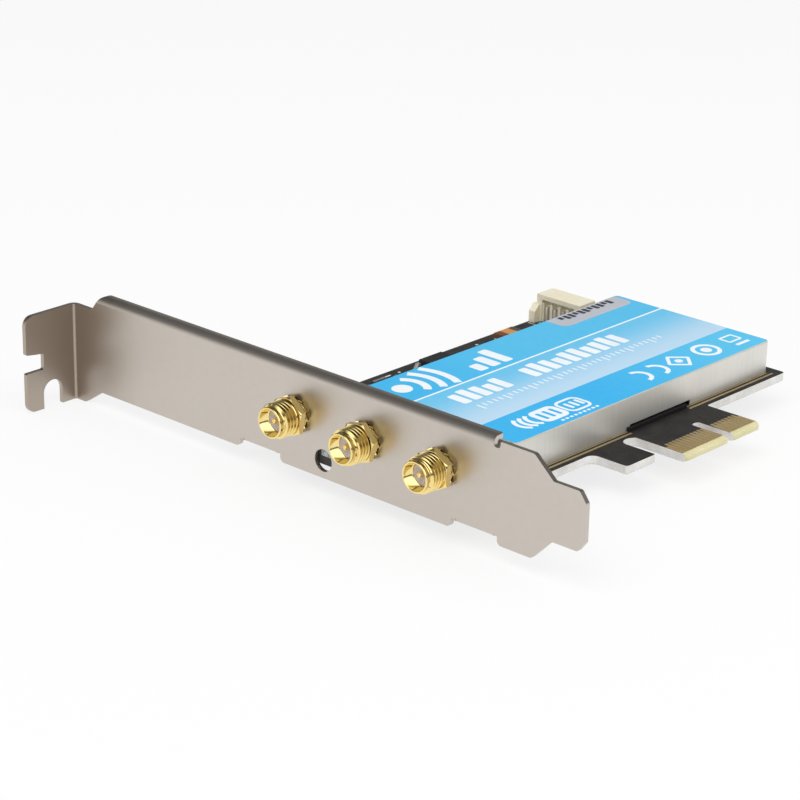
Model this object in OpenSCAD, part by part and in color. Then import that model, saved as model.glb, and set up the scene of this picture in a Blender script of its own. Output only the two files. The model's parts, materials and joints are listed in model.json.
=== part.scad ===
// PCI Express wifi card: folded bracket, three antenna jacks, board with a shielded radio module.
// X runs along the bracket from the seat face of its tab, Y from the plate's outer face into the
// card, Z up from the plate's lower edge.

/* [Bracket] */
// Length from the tab's seat face to the tip of the tongue
bracket_len = 120; // [118:0.5:124]
// Width of the plate
bracket_w = 18.4; // [17.5:0.1:20]
// Thickness of the sheet
sheet_t = 0.86; // [0.7:0.02:1]
// Reach of the tab in front of the plate's outer face
tab_reach = 11.43; // [11:0.1:13]
// Drop of the tab below the plate's lower edge
tab_drop = 3; // [2:0.1:4]
// Inside radius of the bend to the tab
tab_bend_r = 0.5; // [0.3:0.1:1]
// Length of the shoulders that lead from the neck to the full width
neck_len = 4.5; // [3:0.1:6]
// Width of the tongue
tongue_w = 10.2; // [9:0.1:11]
// Length of the tongue
tongue_len = 6.6; // [5:0.1:8]
// Distance from the tongue's tip to the end of the top hem
hem_end = 19; // [16:0.1:22]
// Depth of the top hem from the plate's outer face
hem_depth = 2.2; // [1.8:0.1:4]
// Outside radius of the hem's bend
hem_r = 1.5; // [1.2:0.1:1.7]
// Height of the plate's edge past the hem, below the full width
step_down = 0.6; // [0.2:0.1:1]
// Width of the screw slot in the tab
slot_w = 4.4; // [4.2:0.1:4.8]
// Depth of the screw slot, up from the tab's lower edge
slot_depth = 5.1; // [4.5:0.1:6]
// Distance of the screw slot's middle from the plate's outer face
slot_y = 5.45; // [5:0.05:5.8]
// Height of the notch in the tab's end
notch_h = 3; // [2.5:0.1:3.5]
// Depth of the notch in the tab's end
notch_depth = 4; // [3:0.1:4.2]
// Height of the notch above the tab's lower edge
notch_rise = 7.6; // [7:0.1:9]

/* [Bracket ears] */
// Distance of the first ear's middle from the board's end
ear_x = 5.8; // [4.5:0.1:7.5]
// Distance between the two ears
ear_pitch = 49; // [48:0.1:49.4]
// Width of an ear
ear_w = 8.1; // [7:0.1:9]
// Length of an ear from the plate's outer face
ear_len = 9.4; // [9:0.1:11]
// Distance of the ear screws from the plate's outer face
ear_screw_y = 6; // [5.5:0.1:6.5]
// Diameter of the ear screws
screw_d = 2.5; // [2:0.1:2.6]
// Width of the relief slots beside each ear
relief_w = 0.9; // [0.6:0.1:1.2]
// Height of the relief slots
relief_up = 1.7; // [1.5:0.1:2.4]
// Radius of the plate's corners at the relief slots
relief_r = 0.9; // [0.3:0.1:1.2]

/* [Antenna jacks] */
// Distance of the first jack from the can's end
jack_x = 0.6; // [0:0.1:2]
// Distance between jacks
jack_pitch = 16.5; // [15.5:0.1:16.7]
// Height of the jacks above the plate's lower edge
jack_z = 9.65; // [9:0.05:10]
// Outside diameter of the thread
thread_d = 6.35; // [6:0.05:6.5]
// Reach of the jack in front of the plate
jack_reach = 5.9; // [5.2:0.1:8]
// Diameter of the plain ring at the mouth
ring_d = 5.5; // [5.2:0.1:5.8]
// Diameter of the mouth's bore
mouth_d = 4.7; // [4.5:0.1:4.8]
// Depth from the mouth to the insulator
mouth_depth = 1.9; // [1.5:0.1:2.5]
// Diameter of the insulator
insulator_d = 4.1; // [3.8:0.1:4.3]
// Diameter of the centre pin
pin_d = 0.92; // [0.8:0.02:1]
// Width of the nut across its flats
nut_af = 7; // [7:0.1:8]
// Thickness of the nut
nut_t = 1.2; // [1:0.1:2]
// Thickness of the lock washer over its twisted teeth
washer_t = 0.8; // [0.5:0.05:0.9]
// Outside diameter of the lock washer
washer_d = 7.6; // [7.4:0.1:9]
// Number of teeth on the lock washer
washer_teeth = 12; // [8:1:16]
// Width of the rear flange across its flats
flange_af = 8; // [7.5:0.1:9]
// Thickness of the rear flange
flange_t = 2; // [1.5:0.1:2.5]
// Diameter of the crimp ferrule
ferrule_d = 3.2; // [2.9:0.1:3.6]
// Length of the crimp ferrule
ferrule_len = 5; // [4.5:0.1:5.5]
// Diameter of the coaxial cable
cable_d = 1.37; // [1.13:0.02:1.5]

/* [Board] */
// Distance of the board's end from the tongue's tip
board_x = 77.5; // [77:0.1:80]
// Distance from that end to the side that faces the slot
board_w = 51.6; // [51.2:0.1:52]
// Distance of the board's far edge from the can
board_end = 2.2; // [1.8:0.1:7.8]
// Gap between the board and the plate's inner face
board_gap = 0.24; // [0.22:0.01:0.3]
// Thickness of the board
board_t = 1.57; // [1.4:0.01:1.7]
// Height of the board's underside above the plate's lower edge
board_rise = 1.88; // [1.7:0.02:2]
// Reach of the foot and the hook past the board's side
hook_x = 7.6; // [7.5:0.1:8.9]
// Length of the foot beside the bracket
foot_len = 14; // [10:0.5:16]
// Distance of the hook's near edge from the connector
hook_y = 11.3; // [10.3:0.1:13.3]
// Length of the hook
hook_len = 7.7; // [6:0.1:7.8]

/* [Edge connector] */
// Reach of the connector past the board's side
edge_x = 11.7; // [10.9:0.1:12.9]
// Distance of the connector from the plate's outer face
edge_y = 45.3; // [45:0.1:46]
// Length of the connector before the key slot
edge_first = 11.65; // [11.5:0.05:11.8]
// Width of the key slot
key_w = 1.9; // [1.8:0.05:2]
// Length of the connector past the key slot
edge_second = 7.65; // [7.5:0.05:7.8]
// Depth of the key slot
key_depth = 8.1; // [7.5:0.1:8.5]
// Distance between contacts
contact_pitch = 1; // [0.98:0.01:1.02]
// Width of a contact
contact_w = 0.7; // [0.6:0.02:0.8]
// Length of a contact
contact_len = 4.6; // [3.5:0.1:5]

/* [Shield can] */
// Distance of the can from the board's end
can_x = 13.5; // [13:0.1:13.7]
// Width of the can
can_w = 35.8; // [35.6:0.1:36.3]
// Distance of the can from the plate's outer face
can_y = 16.5; // [16:0.1:17]
// Length of the can
can_len = 71.7; // [71:0.1:73]
// Height of the can above the board
can_h = 6.1; // [6:0.1:8]
// Thickness of the can's sheet
can_t = 0.3; // [0.2:0.02:0.4]
// Height of the relief in the can's connector side
relief_h = 0.95; // [0.5:0.05:1.5]
// Length of the relief in the can's connector side
relief_len = 17.2; // [10:0.1:18]
// Thickness of the label
label_t = 0.12; // [0.08:0.01:0.2]
// Margin of the label inside the can's edges
label_inset = 0.1; // [0.05:0.05:1]

/* [Radio module] */
// Width of the module's board
module_w = 30; // [29:0.1:30]
// Length of the module's board
module_len = 50.95; // [48:0.05:51]
// Thickness of the module's board
module_t = 1; // [0.8:0.05:1.1]
// Gap under the module's board
module_rise = 2.2; // [1.5:0.1:2.3]
// Gap between the contacts of the module's socket and the can's far wall
module_in = 1.15; // [0.65:0.05:2.65]
// Distance between the module's screws
module_screw_pitch = 24.2; // [23:0.1:25]
// Distance between the antenna plugs
plug_pitch = 6.5; // [5:0.1:7]
// Length of the module's shield
module_shield_len = 20; // [15:0.5:22]
// Height of the module's shield
module_shield_h = 1.7; // [1:0.1:1.8]
// Height of the socket
socket_h = 4; // [3.9:0.1:5]

/* [Header] */
// Gap between the board's end and the header
header_in = 0.8; // [0.6:0.1:2]
// Distance of the header's rear from the board's far edge
header_y = 10.8; // [8.4:0.1:12.4]
// Width of the header
header_w = 10.6; // [10.2:0.1:11]
// Depth of the header
header_d = 7.6; // [7:0.1:8.2]
// Height of the header
header_h = 5.5; // [5:0.1:6.5]
// Number of header pins
header_pins_n = 4; // [2:1:4]
// Distance between header pins
header_pitch = 2; // [1.9:0.05:2.1]

/* [Board parts] */
// Distance of the indicator from the first jack
led_x = 6.95; // [5.4:0.05:8.4]
// Diameter of the indicator's hole
led_hole_d = 4; // [3.4:0.1:4.4]
// Height of the indicator's hole above the plate's lower edge
led_hole_z = 3.2; // [2.8:0.1:3.6]
// Width of the indicator
led_w = 3; // [2.5:0.1:3.4]
// Width of the voltage regulator
reg_w = 6.6; // [6:0.1:7]
// Length of the voltage regulator's body
reg_len = 6.1; // [5.5:0.1:6.5]
// Height of the voltage regulator
reg_h = 2.3; // [2:0.1:2.5]
// Distance from the voltage regulator's near side to the tantalum capacitor
reg_y = 20.6; // [17.2:0.1:23.2]
// Length of the tantalum capacitor
tantalum_len = 6; // [5:0.1:7]
// Width of the tantalum capacitor
tantalum_w = 3.2; // [2.6:0.1:4]
// Height of the tantalum capacitor
tantalum_h = 2.2; // [1.6:0.1:2.6]
// Distance from the tantalum capacitor's near end to the header
tantalum_y = 16.4; // [13.6:0.1:19.6]

/* [Hidden] */

$fn = 48;
// A cut runs this far past the faces that it opens
eps = 1;
// Running clearance between a turned piece and its hole
fit = 0.03;
// Clearance of a screw in a plain hole
screw_clear = 0.2;
// Steps of a rounded outline corner
corner_steps = 5;

// Places of the pieces, each from the piece that it sits on or beside
board_left = bracket_len - board_x;
board_side = board_left + board_w;
foot_side = board_side + hook_x;
connector_side = board_side + edge_x;
hook_near = edge_y - hook_y;
hook_far = hook_near + hook_len;
hem_x = bracket_len - hem_end;
can_left = board_left + can_x;
can_far = can_y + can_len;
board_far = can_far + board_end;
header_left = board_left + header_in;
header_near = board_far - header_y;
led_mid = can_left + jack_x + led_x;
tantalum_left = board_left + 3.7;
tantalum_near = header_near - tantalum_y;
reg_left = board_left + 3.5;
reg_near = tantalum_near - reg_y;

// Derived sizes of the bracket
ear_xs = [board_left + ear_x, board_left + ear_x + ear_pitch];
neck_low = -tab_drop;
neck_high = bracket_w - tab_drop;
tongue_low = (bracket_w - tongue_w) / 2;
tongue_high = tongue_low + tongue_w;
step_high = bracket_w - step_down;
step_gap = 1.4;
step_gap_depth = hem_r + 0.3;
shoulder_run = 4;
tongue_root = bracket_len - tongue_len;
tongue_chamfer = 1.4;
neck_run = 2.6;
ear_bend_r = 0.2;
ear_fold_z = board_rise + ear_bend_r;
ear_fold_y = sheet_t + ear_bend_r;
head_d = 1.9 * screw_d;
head_h = 0.6 * screw_d;

// Derived sizes of the jacks, measured outwards from the plate's outer face
jacks = [0:2];
ring_len = 0.5;
groove_len = 0.35;
groove_d = ring_d - 0.4;
thread_chamfer = 0.3;
thread_end = jack_reach - ring_len - groove_len;
shank_d = thread_d - 0.5;
nut_relief = 0.1;
shank_out = washer_t + nut_t + nut_relief;
seat_in = -sheet_t;
flange_back = seat_in - flange_t;
shoulder_len = 0.6;
stem_root = flange_back - shoulder_len;
stem_d = 2.2;
stem_bore = 1.4;
stem_len = 2.6;
ferrule_end = stem_root - ferrule_len;
pin_recess = 0.9;
pin_tip = jack_reach - pin_recess;
nut_turns = [15, 19, 16];
hex_round = 2 / sqrt(3);

// Derived sizes of the board
board_y = sheet_t + board_gap;
board_top = board_rise + board_t;
notch_in = 0.2;
notch_r = 1.6;
bevel_len = 1;
bevel_t = 0.35;
contact_t = 0.05;
contact_first = 1.15;
contact_second = 0.65;
contacts_first_n = 11;
contacts_second_n = 7;
key_y = edge_y + edge_first;
edge_end = key_y + key_w + edge_second;
trace_gap = 0.9;
trace_w = 0.45;

// Derived sizes of the can and what it covers
can_top = board_top + can_h;
can_mid = can_left + can_w / 2;
can_corner_r = 0.9;
can_tab_w = 1.6;
can_tab_play = 0.1;
can_tab_in = 6;
can_tabs_y = [can_y + can_tab_in, can_y + can_len / 2 - 1.5 * can_tab_in, can_y + can_len - can_tab_in];
relief_in = 2;
label_r = 0.8;
door_play = 1;
door_d = cable_d + door_play;
door_in = 3.5;
door_lift = 0.15;
door_z = board_top + door_lift + cable_d / 2;
socket_d = 9;
socket_leg = 1;
socket_side = 1;
socket_w = module_w + 2 * socket_side;
socket_y = can_far - can_t - module_in - socket_leg - socket_d;
module_grip = 4.2;
module_y = socket_y + module_grip - module_len;
module_low = board_top + module_rise;
module_top = module_low + module_t;
module_end = module_y + module_len;
module_shield_w = 22;
module_shield_in = 11;
module_screw_y = 3;
module_screw_d = 2;
module_head_d = 4;
module_head_h = 0.8;
standoff_floor = 0.4;
module_key_w = 1.5;
module_key_off = -3.5;
module_contact_n = 26;
module_contact_pitch = 0.8;
module_contact_w = 0.4;
module_contact_len = 2.4;
module_contact_in = 0.3;
socket_leg_w = 0.3;
socket_leg_t = 0.2;
plug_y = module_y + 2.4;
plug_d = 2.6;
plug_h = 1.6;
plug_barrel_w = 1.6;
plug_barrel_len = 1.2;
plug_inner_h = 1.1;
receptacle_d = 2;
receptacle_h = 0.35;
receptacle_wall = 0.25;
receptacle_ring_h = 0.9;
receptacle_pin_d = 0.5;
plug_axis_z = module_top + receptacle_h + plug_h / 2;
cable_sides = 8;
cable_steps = 11;

// Derived sizes of the header
header_top = board_top + header_h;
header_wall = 0.8;
header_floor = 0.7;
header_back = 2.4;
header_pin_t = 0.5;
header_pin_up = 2.9;
header_pin_z = board_top + header_pin_up;
header_pin_in = 0.8;
header_pocket = 1.1;
header_pocket_side = 1.3;
header_pocket_top = 1;
header_rib_w = 0.6;
header_rib_h = 3.8;
header_rib_in = 0.3;
header_cut_d = 2.9;
header_leg_in = 0.2;
header_foot = 1.6;
anchor_t = 0.2;
anchor_foot = 0.5;
anchor_len = 3.6;
anchor_slope = [1, 0.8];
anchor_in = 0.6;
anchor_h = 3.6;

// Derived places of the small parts on the board, the spots measured from the board's end
led_d = 1.5;
led_dome_d = 1.3;
led_dome_len = 0.65;
led_end = 0.4;
led_end_size = 0.9;
tantalum_fold = 0.3;
tantalum_foot = 1.2;
tantalum_lift = 0.1;
reg_lift = 0.1;
reg_slope = 0.25;
reg_tab_in = 0.6;
chip_end = 0.35;
capacitor_size = [1.6, 0.8, 0.8];
capacitor_spots = [[4.3, reg_near - 13.4], [4.3, reg_near - 6.1], [8.1, reg_near + reg_len + 5.3],
    [8.1, reg_near + reg_len + 9.8], [26.5, board_y + 3.1]];
resistor_size = [1.6, 0.8, 0.5];
resistor_spots = [[9, reg_near - 12.1], [9, reg_near - 9.6], [24.1, board_y + 6.9],
    [6, tantalum_near + tantalum_len + 4.3]];

function unit(v) = v / norm(v);
function jack_at(i) = can_left + jack_x + i * jack_pitch;

// Points of an outline corner b between a and c, each [x, y, radius]
function corner(a, b, c) =
    b[2] == 0 ? [[b[0], b[1]]] :
    let (u = unit([a[0] - b[0], a[1] - b[1]]))
    let (v = unit([c[0] - b[0], c[1] - b[1]]))
    let (half = acos(u * v) / 2)
    let (mid = [b[0], b[1]] + unit(u + v) * b[2] / sin(half))
    let (from = [b[0], b[1]] + u * b[2] / tan(half) - mid)
    let (to = [b[0], b[1]] + v * b[2] / tan(half) - mid)
    let (start = atan2(from[1], from[0]))
    let (turn = atan2(from[0] * to[1] - from[1] * to[0], from * to))
    [for (k = [0:corner_steps])
        let (angle = start + turn * k / corner_steps)
        mid + b[2] * [cos(angle), sin(angle)]];

// Flat outline from a list of corners, each [x, y, radius]
module outline(corners) {
    n = len(corners);
    polygon([for (k = [0:n - 1])
        each corner(corners[(k + n - 1) % n], corners[k], corners[(k + 1) % n])]);
}

// Extrudes an XZ outline along Y, from y on by depth
module slab_y(y, depth) {
    translate([0, y + depth, 0])
        rotate([90, 0, 0])
            linear_extrude(depth)
                children();
}

// Extrudes a YZ outline along X, from x on by depth
module slab_x(x, depth) {
    translate([x, 0, 0])
        rotate([90, 0, 90])
            linear_extrude(depth)
                children();
}

// Places what is drawn along +Z on a jack's axis, pointing out of the plate
module on_jack(i) {
    translate([jack_at(i), 0, jack_z])
        rotate([90, 0, 0])
            children();
}

// Quarter of a bent sheet along +Z, in the quadrant of +X and +Y
module bend(radius, width) {
    rotate_extrude(angle = 90)
        translate([radius, 0])
            square([sheet_t, width]);
}

// Outline of the plate in XZ, with the neck at the left and the tongue at the right
module plate_outline() {
    outline([
        [tab_bend_r, neck_low, 0],
        [neck_run, neck_low, 1.5],
        [neck_run + neck_len, 0, 1.5],
        [tongue_root - shoulder_run, 0, 1],
        [tongue_root, tongue_low, 0.5],
        [bracket_len - tongue_chamfer, tongue_low, 0.5],
        [bracket_len, tongue_low + 1.3 * tongue_chamfer, 0.5],
        [bracket_len, tongue_high - 1.3 * tongue_chamfer, 0.5],
        [bracket_len - tongue_chamfer, tongue_high, 0.5],
        [tongue_root, tongue_high, 0.5],
        [tongue_root - shoulder_run, step_high, 1],
        [hem_x + step_gap, step_high, 0.3],
        [hem_x + step_gap, bracket_w - step_gap_depth, 0.5],
        [hem_x, bracket_w - step_gap_depth, 0.5],
        [hem_x, bracket_w, 0.3],
        [neck_run + neck_len, bracket_w, 1.8],
        [neck_run + neck_len / 2, neck_high, 1.2],
        [tab_bend_r, neck_high, 0]
    ]);
}

// Flat sheet and rolled top hem, before the outline is cut
module plate_blank() {
    translate([0, 0, neck_low])
        cube([bracket_len, sheet_t, bracket_w - hem_r - neck_low]);
    translate([hem_x, 0, neck_low])
        cube([bracket_len - hem_x, sheet_t, bracket_w - neck_low]);
    translate([0, hem_r, bracket_w - hem_r])
        rotate([90, 0, 90])
            rotate([0, 0, 90])
                bend(hem_r - sheet_t, hem_x);
    translate([0, hem_r, bracket_w - sheet_t])
        cube([hem_x, hem_depth - hem_r, sheet_t]);
}

// Flat tab with its screw slot and end notch
module tab() {
    slab_x(-sheet_t, sheet_t)
        difference() {
            outline([
                [-tab_bend_r, neck_low, 0],
                [-tab_bend_r, neck_high, 0],
                [-tab_reach, neck_high, 1.8],
                [-tab_reach, neck_low + notch_rise + notch_h + 0.6, 0.3],
                [-tab_reach + notch_depth, neck_low + notch_rise + notch_h, 0.3],
                [-tab_reach + notch_depth, neck_low + notch_rise, 0.3],
                [-tab_reach, neck_low + notch_rise, 0.3],
                [-tab_reach, neck_low, 1.75]
            ]);
            translate([-slot_y, neck_low + slot_depth - slot_w / 2])
                circle(d = slot_w);
            translate([-slot_y - slot_w / 2, neck_low - eps])
                square([slot_w, slot_depth - slot_w / 2 + eps]);
        }
}

// Ear folded under the board, with the hole that its screw is tapped into
module ear(x) {
    translate([x - ear_w / 2, ear_fold_y, ear_fold_z])
        rotate([90, 0, 90])
            rotate([0, 0, 180])
                bend(ear_bend_r, ear_w);
    difference() {
        translate([0, 0, board_rise - sheet_t])
            linear_extrude(sheet_t)
                outline([
                    [x - ear_w / 2, ear_fold_y, 0],
                    [x + ear_w / 2, ear_fold_y, 0],
                    [x + ear_w / 2, ear_len, 1],
                    [x - ear_w / 2, ear_len, 1]
                ]);
        translate([x, ear_screw_y, 0])
            cylinder(d = screw_d + 2 * fit, h = board_rise + eps);
    }
}

// Outline of the slot on an ear's +X side, about the slot's middle, with the plate's corner rounded
module relief_slot() {
    half = relief_w / 2;
    outline([
        [-half, -eps, 0],
        [-half, relief_up, 0.9 * half],
        [half, relief_up, 0.9 * half],
        [half, 0, relief_r],
        [half + relief_r + fit, 0, 0],
        [half + relief_r + fit, -eps, 0]
    ]);
}

// Cut that frees an ear: the plate under its fold and a relief slot on each side
module ear_relief(x) {
    slab_y(-eps, sheet_t + 2 * eps) {
        translate([x - ear_w / 2, -eps])
            square([ear_w, ear_fold_z + eps]);
        for (side = [-1, 1])
            translate([x + side * (ear_w + relief_w) / 2, 0])
                mirror([(1 - side) / 2, 0])
                    relief_slot();
    }
}

module bracket() {
    color("gainsboro")
        union() {
            difference() {
                intersection() {
                    plate_blank();
                    slab_y(-eps, hem_depth + 2 * eps)
                        plate_outline();
                }
                for (x = ear_xs)
                    ear_relief(x);
                for (i = jacks)
                    on_jack(i)
                        translate([0, 0, -hem_depth])
                            cylinder(d = thread_d + 4 * fit, h = 2 * hem_depth);
                translate([led_mid, hem_depth, led_hole_z])
                    rotate([90, 0, 0])
                        cylinder(d = led_hole_d, h = 2 * hem_depth);
            }
            translate([tab_bend_r, -tab_bend_r, neck_low])
                rotate([0, 0, 90])
                    bend(tab_bend_r, bracket_w);
            tab();
            for (x = ear_xs)
                ear(x);
        }
}

// Pan-head screws down through the board into the ears
module bracket_screws() {
    color("silver")
        for (x = ear_xs)
            translate([x, ear_screw_y, board_top])
                difference() {
                    union() {
                        cylinder(d1 = head_d, d2 = 0.8 * head_d, h = head_h);
                        translate([0, 0, -board_t - sheet_t])
                            cylinder(d = screw_d, h = board_t + sheet_t + eps / 2);
                    }
                    for (turn = [0, 90])
                        rotate([0, 0, turn])
                            translate([-0.3 * head_d, -0.08 * head_d, 0.4 * head_h])
                                cube([0.6 * head_d, 0.16 * head_d, head_h]);
                }
}

// Board outline in XY, with the foot, the hook, the connector and its key slot
module board_outline() {
    outline([
        [board_left, board_y, 0.5],
        [foot_side, board_y, 0.5],
        [foot_side, board_y + foot_len, 1.5],
        [board_side, board_y + foot_len, 1.5],
        [board_side, hook_near, 1.5],
        [foot_side, hook_near, 0.6],
        [foot_side, hook_far, 0.3],
        [board_side - notch_in, hook_far, notch_r],
        [board_side - notch_in, edge_y, notch_r],
        [connector_side - bevel_len / 2, edge_y, 0],
        [connector_side, edge_y + bevel_len / 2, 0],
        [connector_side, key_y, 0.2],
        [connector_side - key_depth, key_y, 0.4 * key_w],
        [connector_side - key_depth, key_y + key_w, 0.4 * key_w],
        [connector_side, key_y + key_w, 0.2],
        [connector_side, edge_end - bevel_len / 2, 0],
        [connector_side - bevel_len / 2, edge_end, 0],
        [board_side, edge_end, 0.5],
        [board_side, board_far, 0.5],
        [board_left, board_far, 0.5]
    ]);
}

// Wedge that bevels the connector's end edge, pointing down from height z
module edge_bevel() {
    slab_y(edge_y - eps, edge_end - edge_y + 2 * eps)
        polygon([
            [connector_side - bevel_len, 0],
            [connector_side + eps, 0],
            [connector_side + eps, -bevel_t * (1 + eps / bevel_len)]
        ]);
}

module circuit_board() {
    color([0.09, 0.1, 0.1])
        difference() {
            translate([0, 0, board_rise])
                linear_extrude(board_t)
                    board_outline();
            translate([0, 0, board_top])
                edge_bevel();
            translate([0, 0, board_rise])
                mirror([0, 0, 1])
                    edge_bevel();
            for (x = ear_xs)
                translate([x, ear_screw_y, board_rise - eps])
                    cylinder(d = screw_d + 2 * screw_clear, h = board_t + 2 * eps);
            for (y = can_tabs_y)
                for (x = [can_left, can_left + can_w - can_t])
                    translate([x - can_tab_play, y - can_tab_w / 2 - can_tab_play, board_rise - eps])
                        cube([can_t + 2 * can_tab_play, can_tab_w + 2 * can_tab_play, board_t + 2 * eps]);
        }
}

// Gold contacts on both faces, eleven before the key slot and seven past it
module edge_contacts() {
    color("gold")
        for (z = [board_rise - contact_t, board_top]) {
            for (k = [0:contacts_first_n - 1])
                contact(edge_y + contact_first + k * contact_pitch, z);
            for (k = [0:contacts_second_n - 1])
                contact(key_y + key_w + contact_second + k * contact_pitch, z);
        }
}

module contact(y, z) {
    translate([connector_side - bevel_len - contact_len, y - contact_w / 2, z])
        cube([contact_len, contact_w, contact_t]);
}

// Bare strip of plated copper along the can's foot
module ground_trace() {
    color("gold")
        translate([can_left + can_w + trace_gap, can_y, board_top])
            cube([trace_w, can_len, contact_t]);
}

// Turned jack: mouth ring, thread, plain shank through the plate, hex flange and crimp stem
module jack_body(i) {
    color("goldenrod")
        on_jack(i)
            union() {
                rotate_extrude()
                    polygon([
                        [mouth_d / 2, jack_reach],
                        [ring_d / 2 - 0.1, jack_reach],
                        [ring_d / 2, jack_reach - 0.1],
                        [ring_d / 2, jack_reach - ring_len],
                        [groove_d / 2, jack_reach - ring_len],
                        [groove_d / 2, thread_end],
                        [thread_d / 2 - thread_chamfer, thread_end],
                        [thread_d / 2, thread_end - thread_chamfer],
                        [thread_d / 2, shank_out],
                        [shank_d / 2, shank_out],
                        [shank_d / 2, flange_back],
                        [shank_d / 2 - thread_chamfer, stem_root],
                        [stem_d / 2, stem_root],
                        [stem_d / 2, stem_root - stem_len],
                        [stem_bore / 2, stem_root - stem_len],
                        [stem_bore / 2, flange_back],
                        [insulator_d / 2, flange_back],
                        [insulator_d / 2, jack_reach - mouth_depth],
                        [mouth_d / 2, jack_reach - mouth_depth]
                    ]);
                difference() {
                    translate([0, 0, flange_back])
                        cylinder(d = flange_af * hex_round, h = flange_t, $fn = 6);
                    translate([0, 0, flange_back - eps])
                        cylinder(d = shank_d - 0.1, h = flange_t + 2 * eps);
                }
            }
}

module jack_insulator(i) {
    color("mistyrose")
        on_jack(i)
            translate([0, 0, flange_back])
                difference() {
                    cylinder(d = insulator_d - fit, h = jack_reach - mouth_depth - flange_back);
                    translate([0, 0, -eps])
                        cylinder(d = pin_d + fit, h = jack_reach - flange_back + eps);
                }
}

// Centre pin with a rounded tip
module jack_pin(i) {
    color("gold")
        on_jack(i)
            translate([0, 0, stem_root - stem_len])
                rotate_extrude()
                    polygon([
                        [0, 0],
                        [pin_d / 2, 0],
                        [pin_d / 2, pin_tip - stem_root + stem_len - pin_d / 2],
                        [0.7 * pin_d / 2, pin_tip - stem_root + stem_len - 0.15 * pin_d],
                        [0.3 * pin_d / 2, pin_tip - stem_root + stem_len],
                        [0, pin_tip - stem_root + stem_len]
                    ]);
}

// Hex nut with its outer corners turned off
module jack_nut(i) {
    nut_d = nut_af * hex_round;
    color("goldenrod")
        on_jack(i)
            translate([0, 0, washer_t])
                difference() {
                    intersection() {
                        rotate([0, 0, nut_turns[i]])
                            cylinder(d = nut_d, h = nut_t, $fn = 6);
                        rotate_extrude()
                            polygon([
                                [0, 0],
                                [nut_d / 2 + fit, 0],
                                [nut_d / 2 + fit, 0.75 * nut_t],
                                [nut_af / 2, nut_t],
                                [0, nut_t]
                            ]);
                    }
                    translate([0, 0, -eps])
                        cylinder(d = shank_d + 2 * fit, h = nut_t + 2 * eps);
                }
}

// Flat ring with twisted teeth on its outside
module lock_washer(i) {
    ring_t = 0.3;
    root_d = thread_d + 0.6;
    tooth_w = 0.9;
    tooth_twist = asin((washer_t - 2 * fit) / norm([tooth_w, ring_t])) - atan(ring_t / tooth_w);
    color("goldenrod")
        on_jack(i)
            translate([0, 0, washer_t / 2])
                difference() {
                    union() {
                        translate([0, 0, -ring_t / 2])
                            cylinder(d = root_d, h = ring_t);
                        for (k = [0:washer_teeth - 1])
                            rotate([0, 0, 360 * k / washer_teeth])
                                tooth(tooth_w, ring_t, tooth_twist);
                    }
                    translate([0, 0, -washer_t])
                        cylinder(d = thread_d + 2 * fit, h = 2 * washer_t);
                }
}

// One tooth of the lock washer, turned about its own radial axis
module tooth(width, thickness, twist) {
    rotate([twist, 0, 0])
        translate([thread_d / 2 + 0.1, -width / 2, -thickness / 2])
            cube([(washer_d - thread_d) / 2 - 0.1, width, thickness]);
}

// Ferrule crimped over the stem and the cable's jacket
module crimp_ferrule(i) {
    color("goldenrod")
        on_jack(i)
            rotate_extrude()
                polygon([
                    [stem_d / 2 + fit, stem_root],
                    [ferrule_d / 2, stem_root],
                    [ferrule_d / 2, ferrule_end],
                    [cable_d / 2 + fit, ferrule_end],
                    [cable_d / 2 + fit, stem_root - stem_len],
                    [stem_d / 2 + fit, stem_root - stem_len]
                ]);
}

// Where cable i passes through the can's near wall, and where its plug sits
function door_x(i) = can_mid + (i - 1) * (can_w / 2 - door_in);
function plug_x(i) = can_mid + (i - 1) * plug_pitch;

// Point at share s of a stretch that leaves a and reaches b along Y
function sway(a, b, s) =
    let (reach = [0, 0.5 * (b[1] - a[1]), 0])
    pow(1 - s, 3) * a + 3 * pow(1 - s, 2) * s * (a + reach)
        + 3 * (1 - s) * s * s * (b - reach) + pow(s, 3) * b;

// Middle line of cable i, from the jack's stem to its plug
function cable_line(i) =
    let (from = [jack_at(i), -stem_root + stem_len, jack_z])
    let (free = [jack_at(i), -ferrule_end + can_t, jack_z])
    let (outside = [door_x(i), can_y - can_t, door_z])
    let (inside = [door_x(i), can_y + 2 * can_t, door_z])
    let (to = [plug_x(i), plug_y - plug_d / 2 - plug_barrel_len, plug_axis_z])
    [from, each [for (k = [0:cable_steps]) sway(free, outside, k / cable_steps)],
        each [for (k = [0:cable_steps]) sway(inside, to, k / cable_steps)]];

// Round rod swept along a line of points
module swept(line, radius, sides) {
    n = len(line);
    rings = [for (k = [0:n - 1])
        let (ahead = line[min(k + 1, n - 1)] - line[max(k - 1, 0)])
        let (dir = k == 0 || k == n - 1 ? [0, 1, 0] : unit(ahead))
        let (side = unit(cross(dir, [0, 0, 1])))
        let (up = cross(side, dir))
        for (s = [0:sides - 1])
            line[k] + radius * (cos(360 * s / sides) * side + sin(360 * s / sides) * up)];
    walls = [for (k = [0:n - 2], s = [0:sides - 1])
        let (next = (s + 1) % sides)
        [k * sides + s, k * sides + next, (k + 1) * sides + next, (k + 1) * sides + s]];
    polyhedron(rings, [
        [for (s = [sides - 1:-1:0]) s],
        each walls,
        [for (s = [0:sides - 1]) (n - 1) * sides + s]
    ]);
}

module antenna_cable(i) {
    color("dimgray")
        swept(cable_line(i), cable_d / 2, cable_sides);
}

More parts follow.
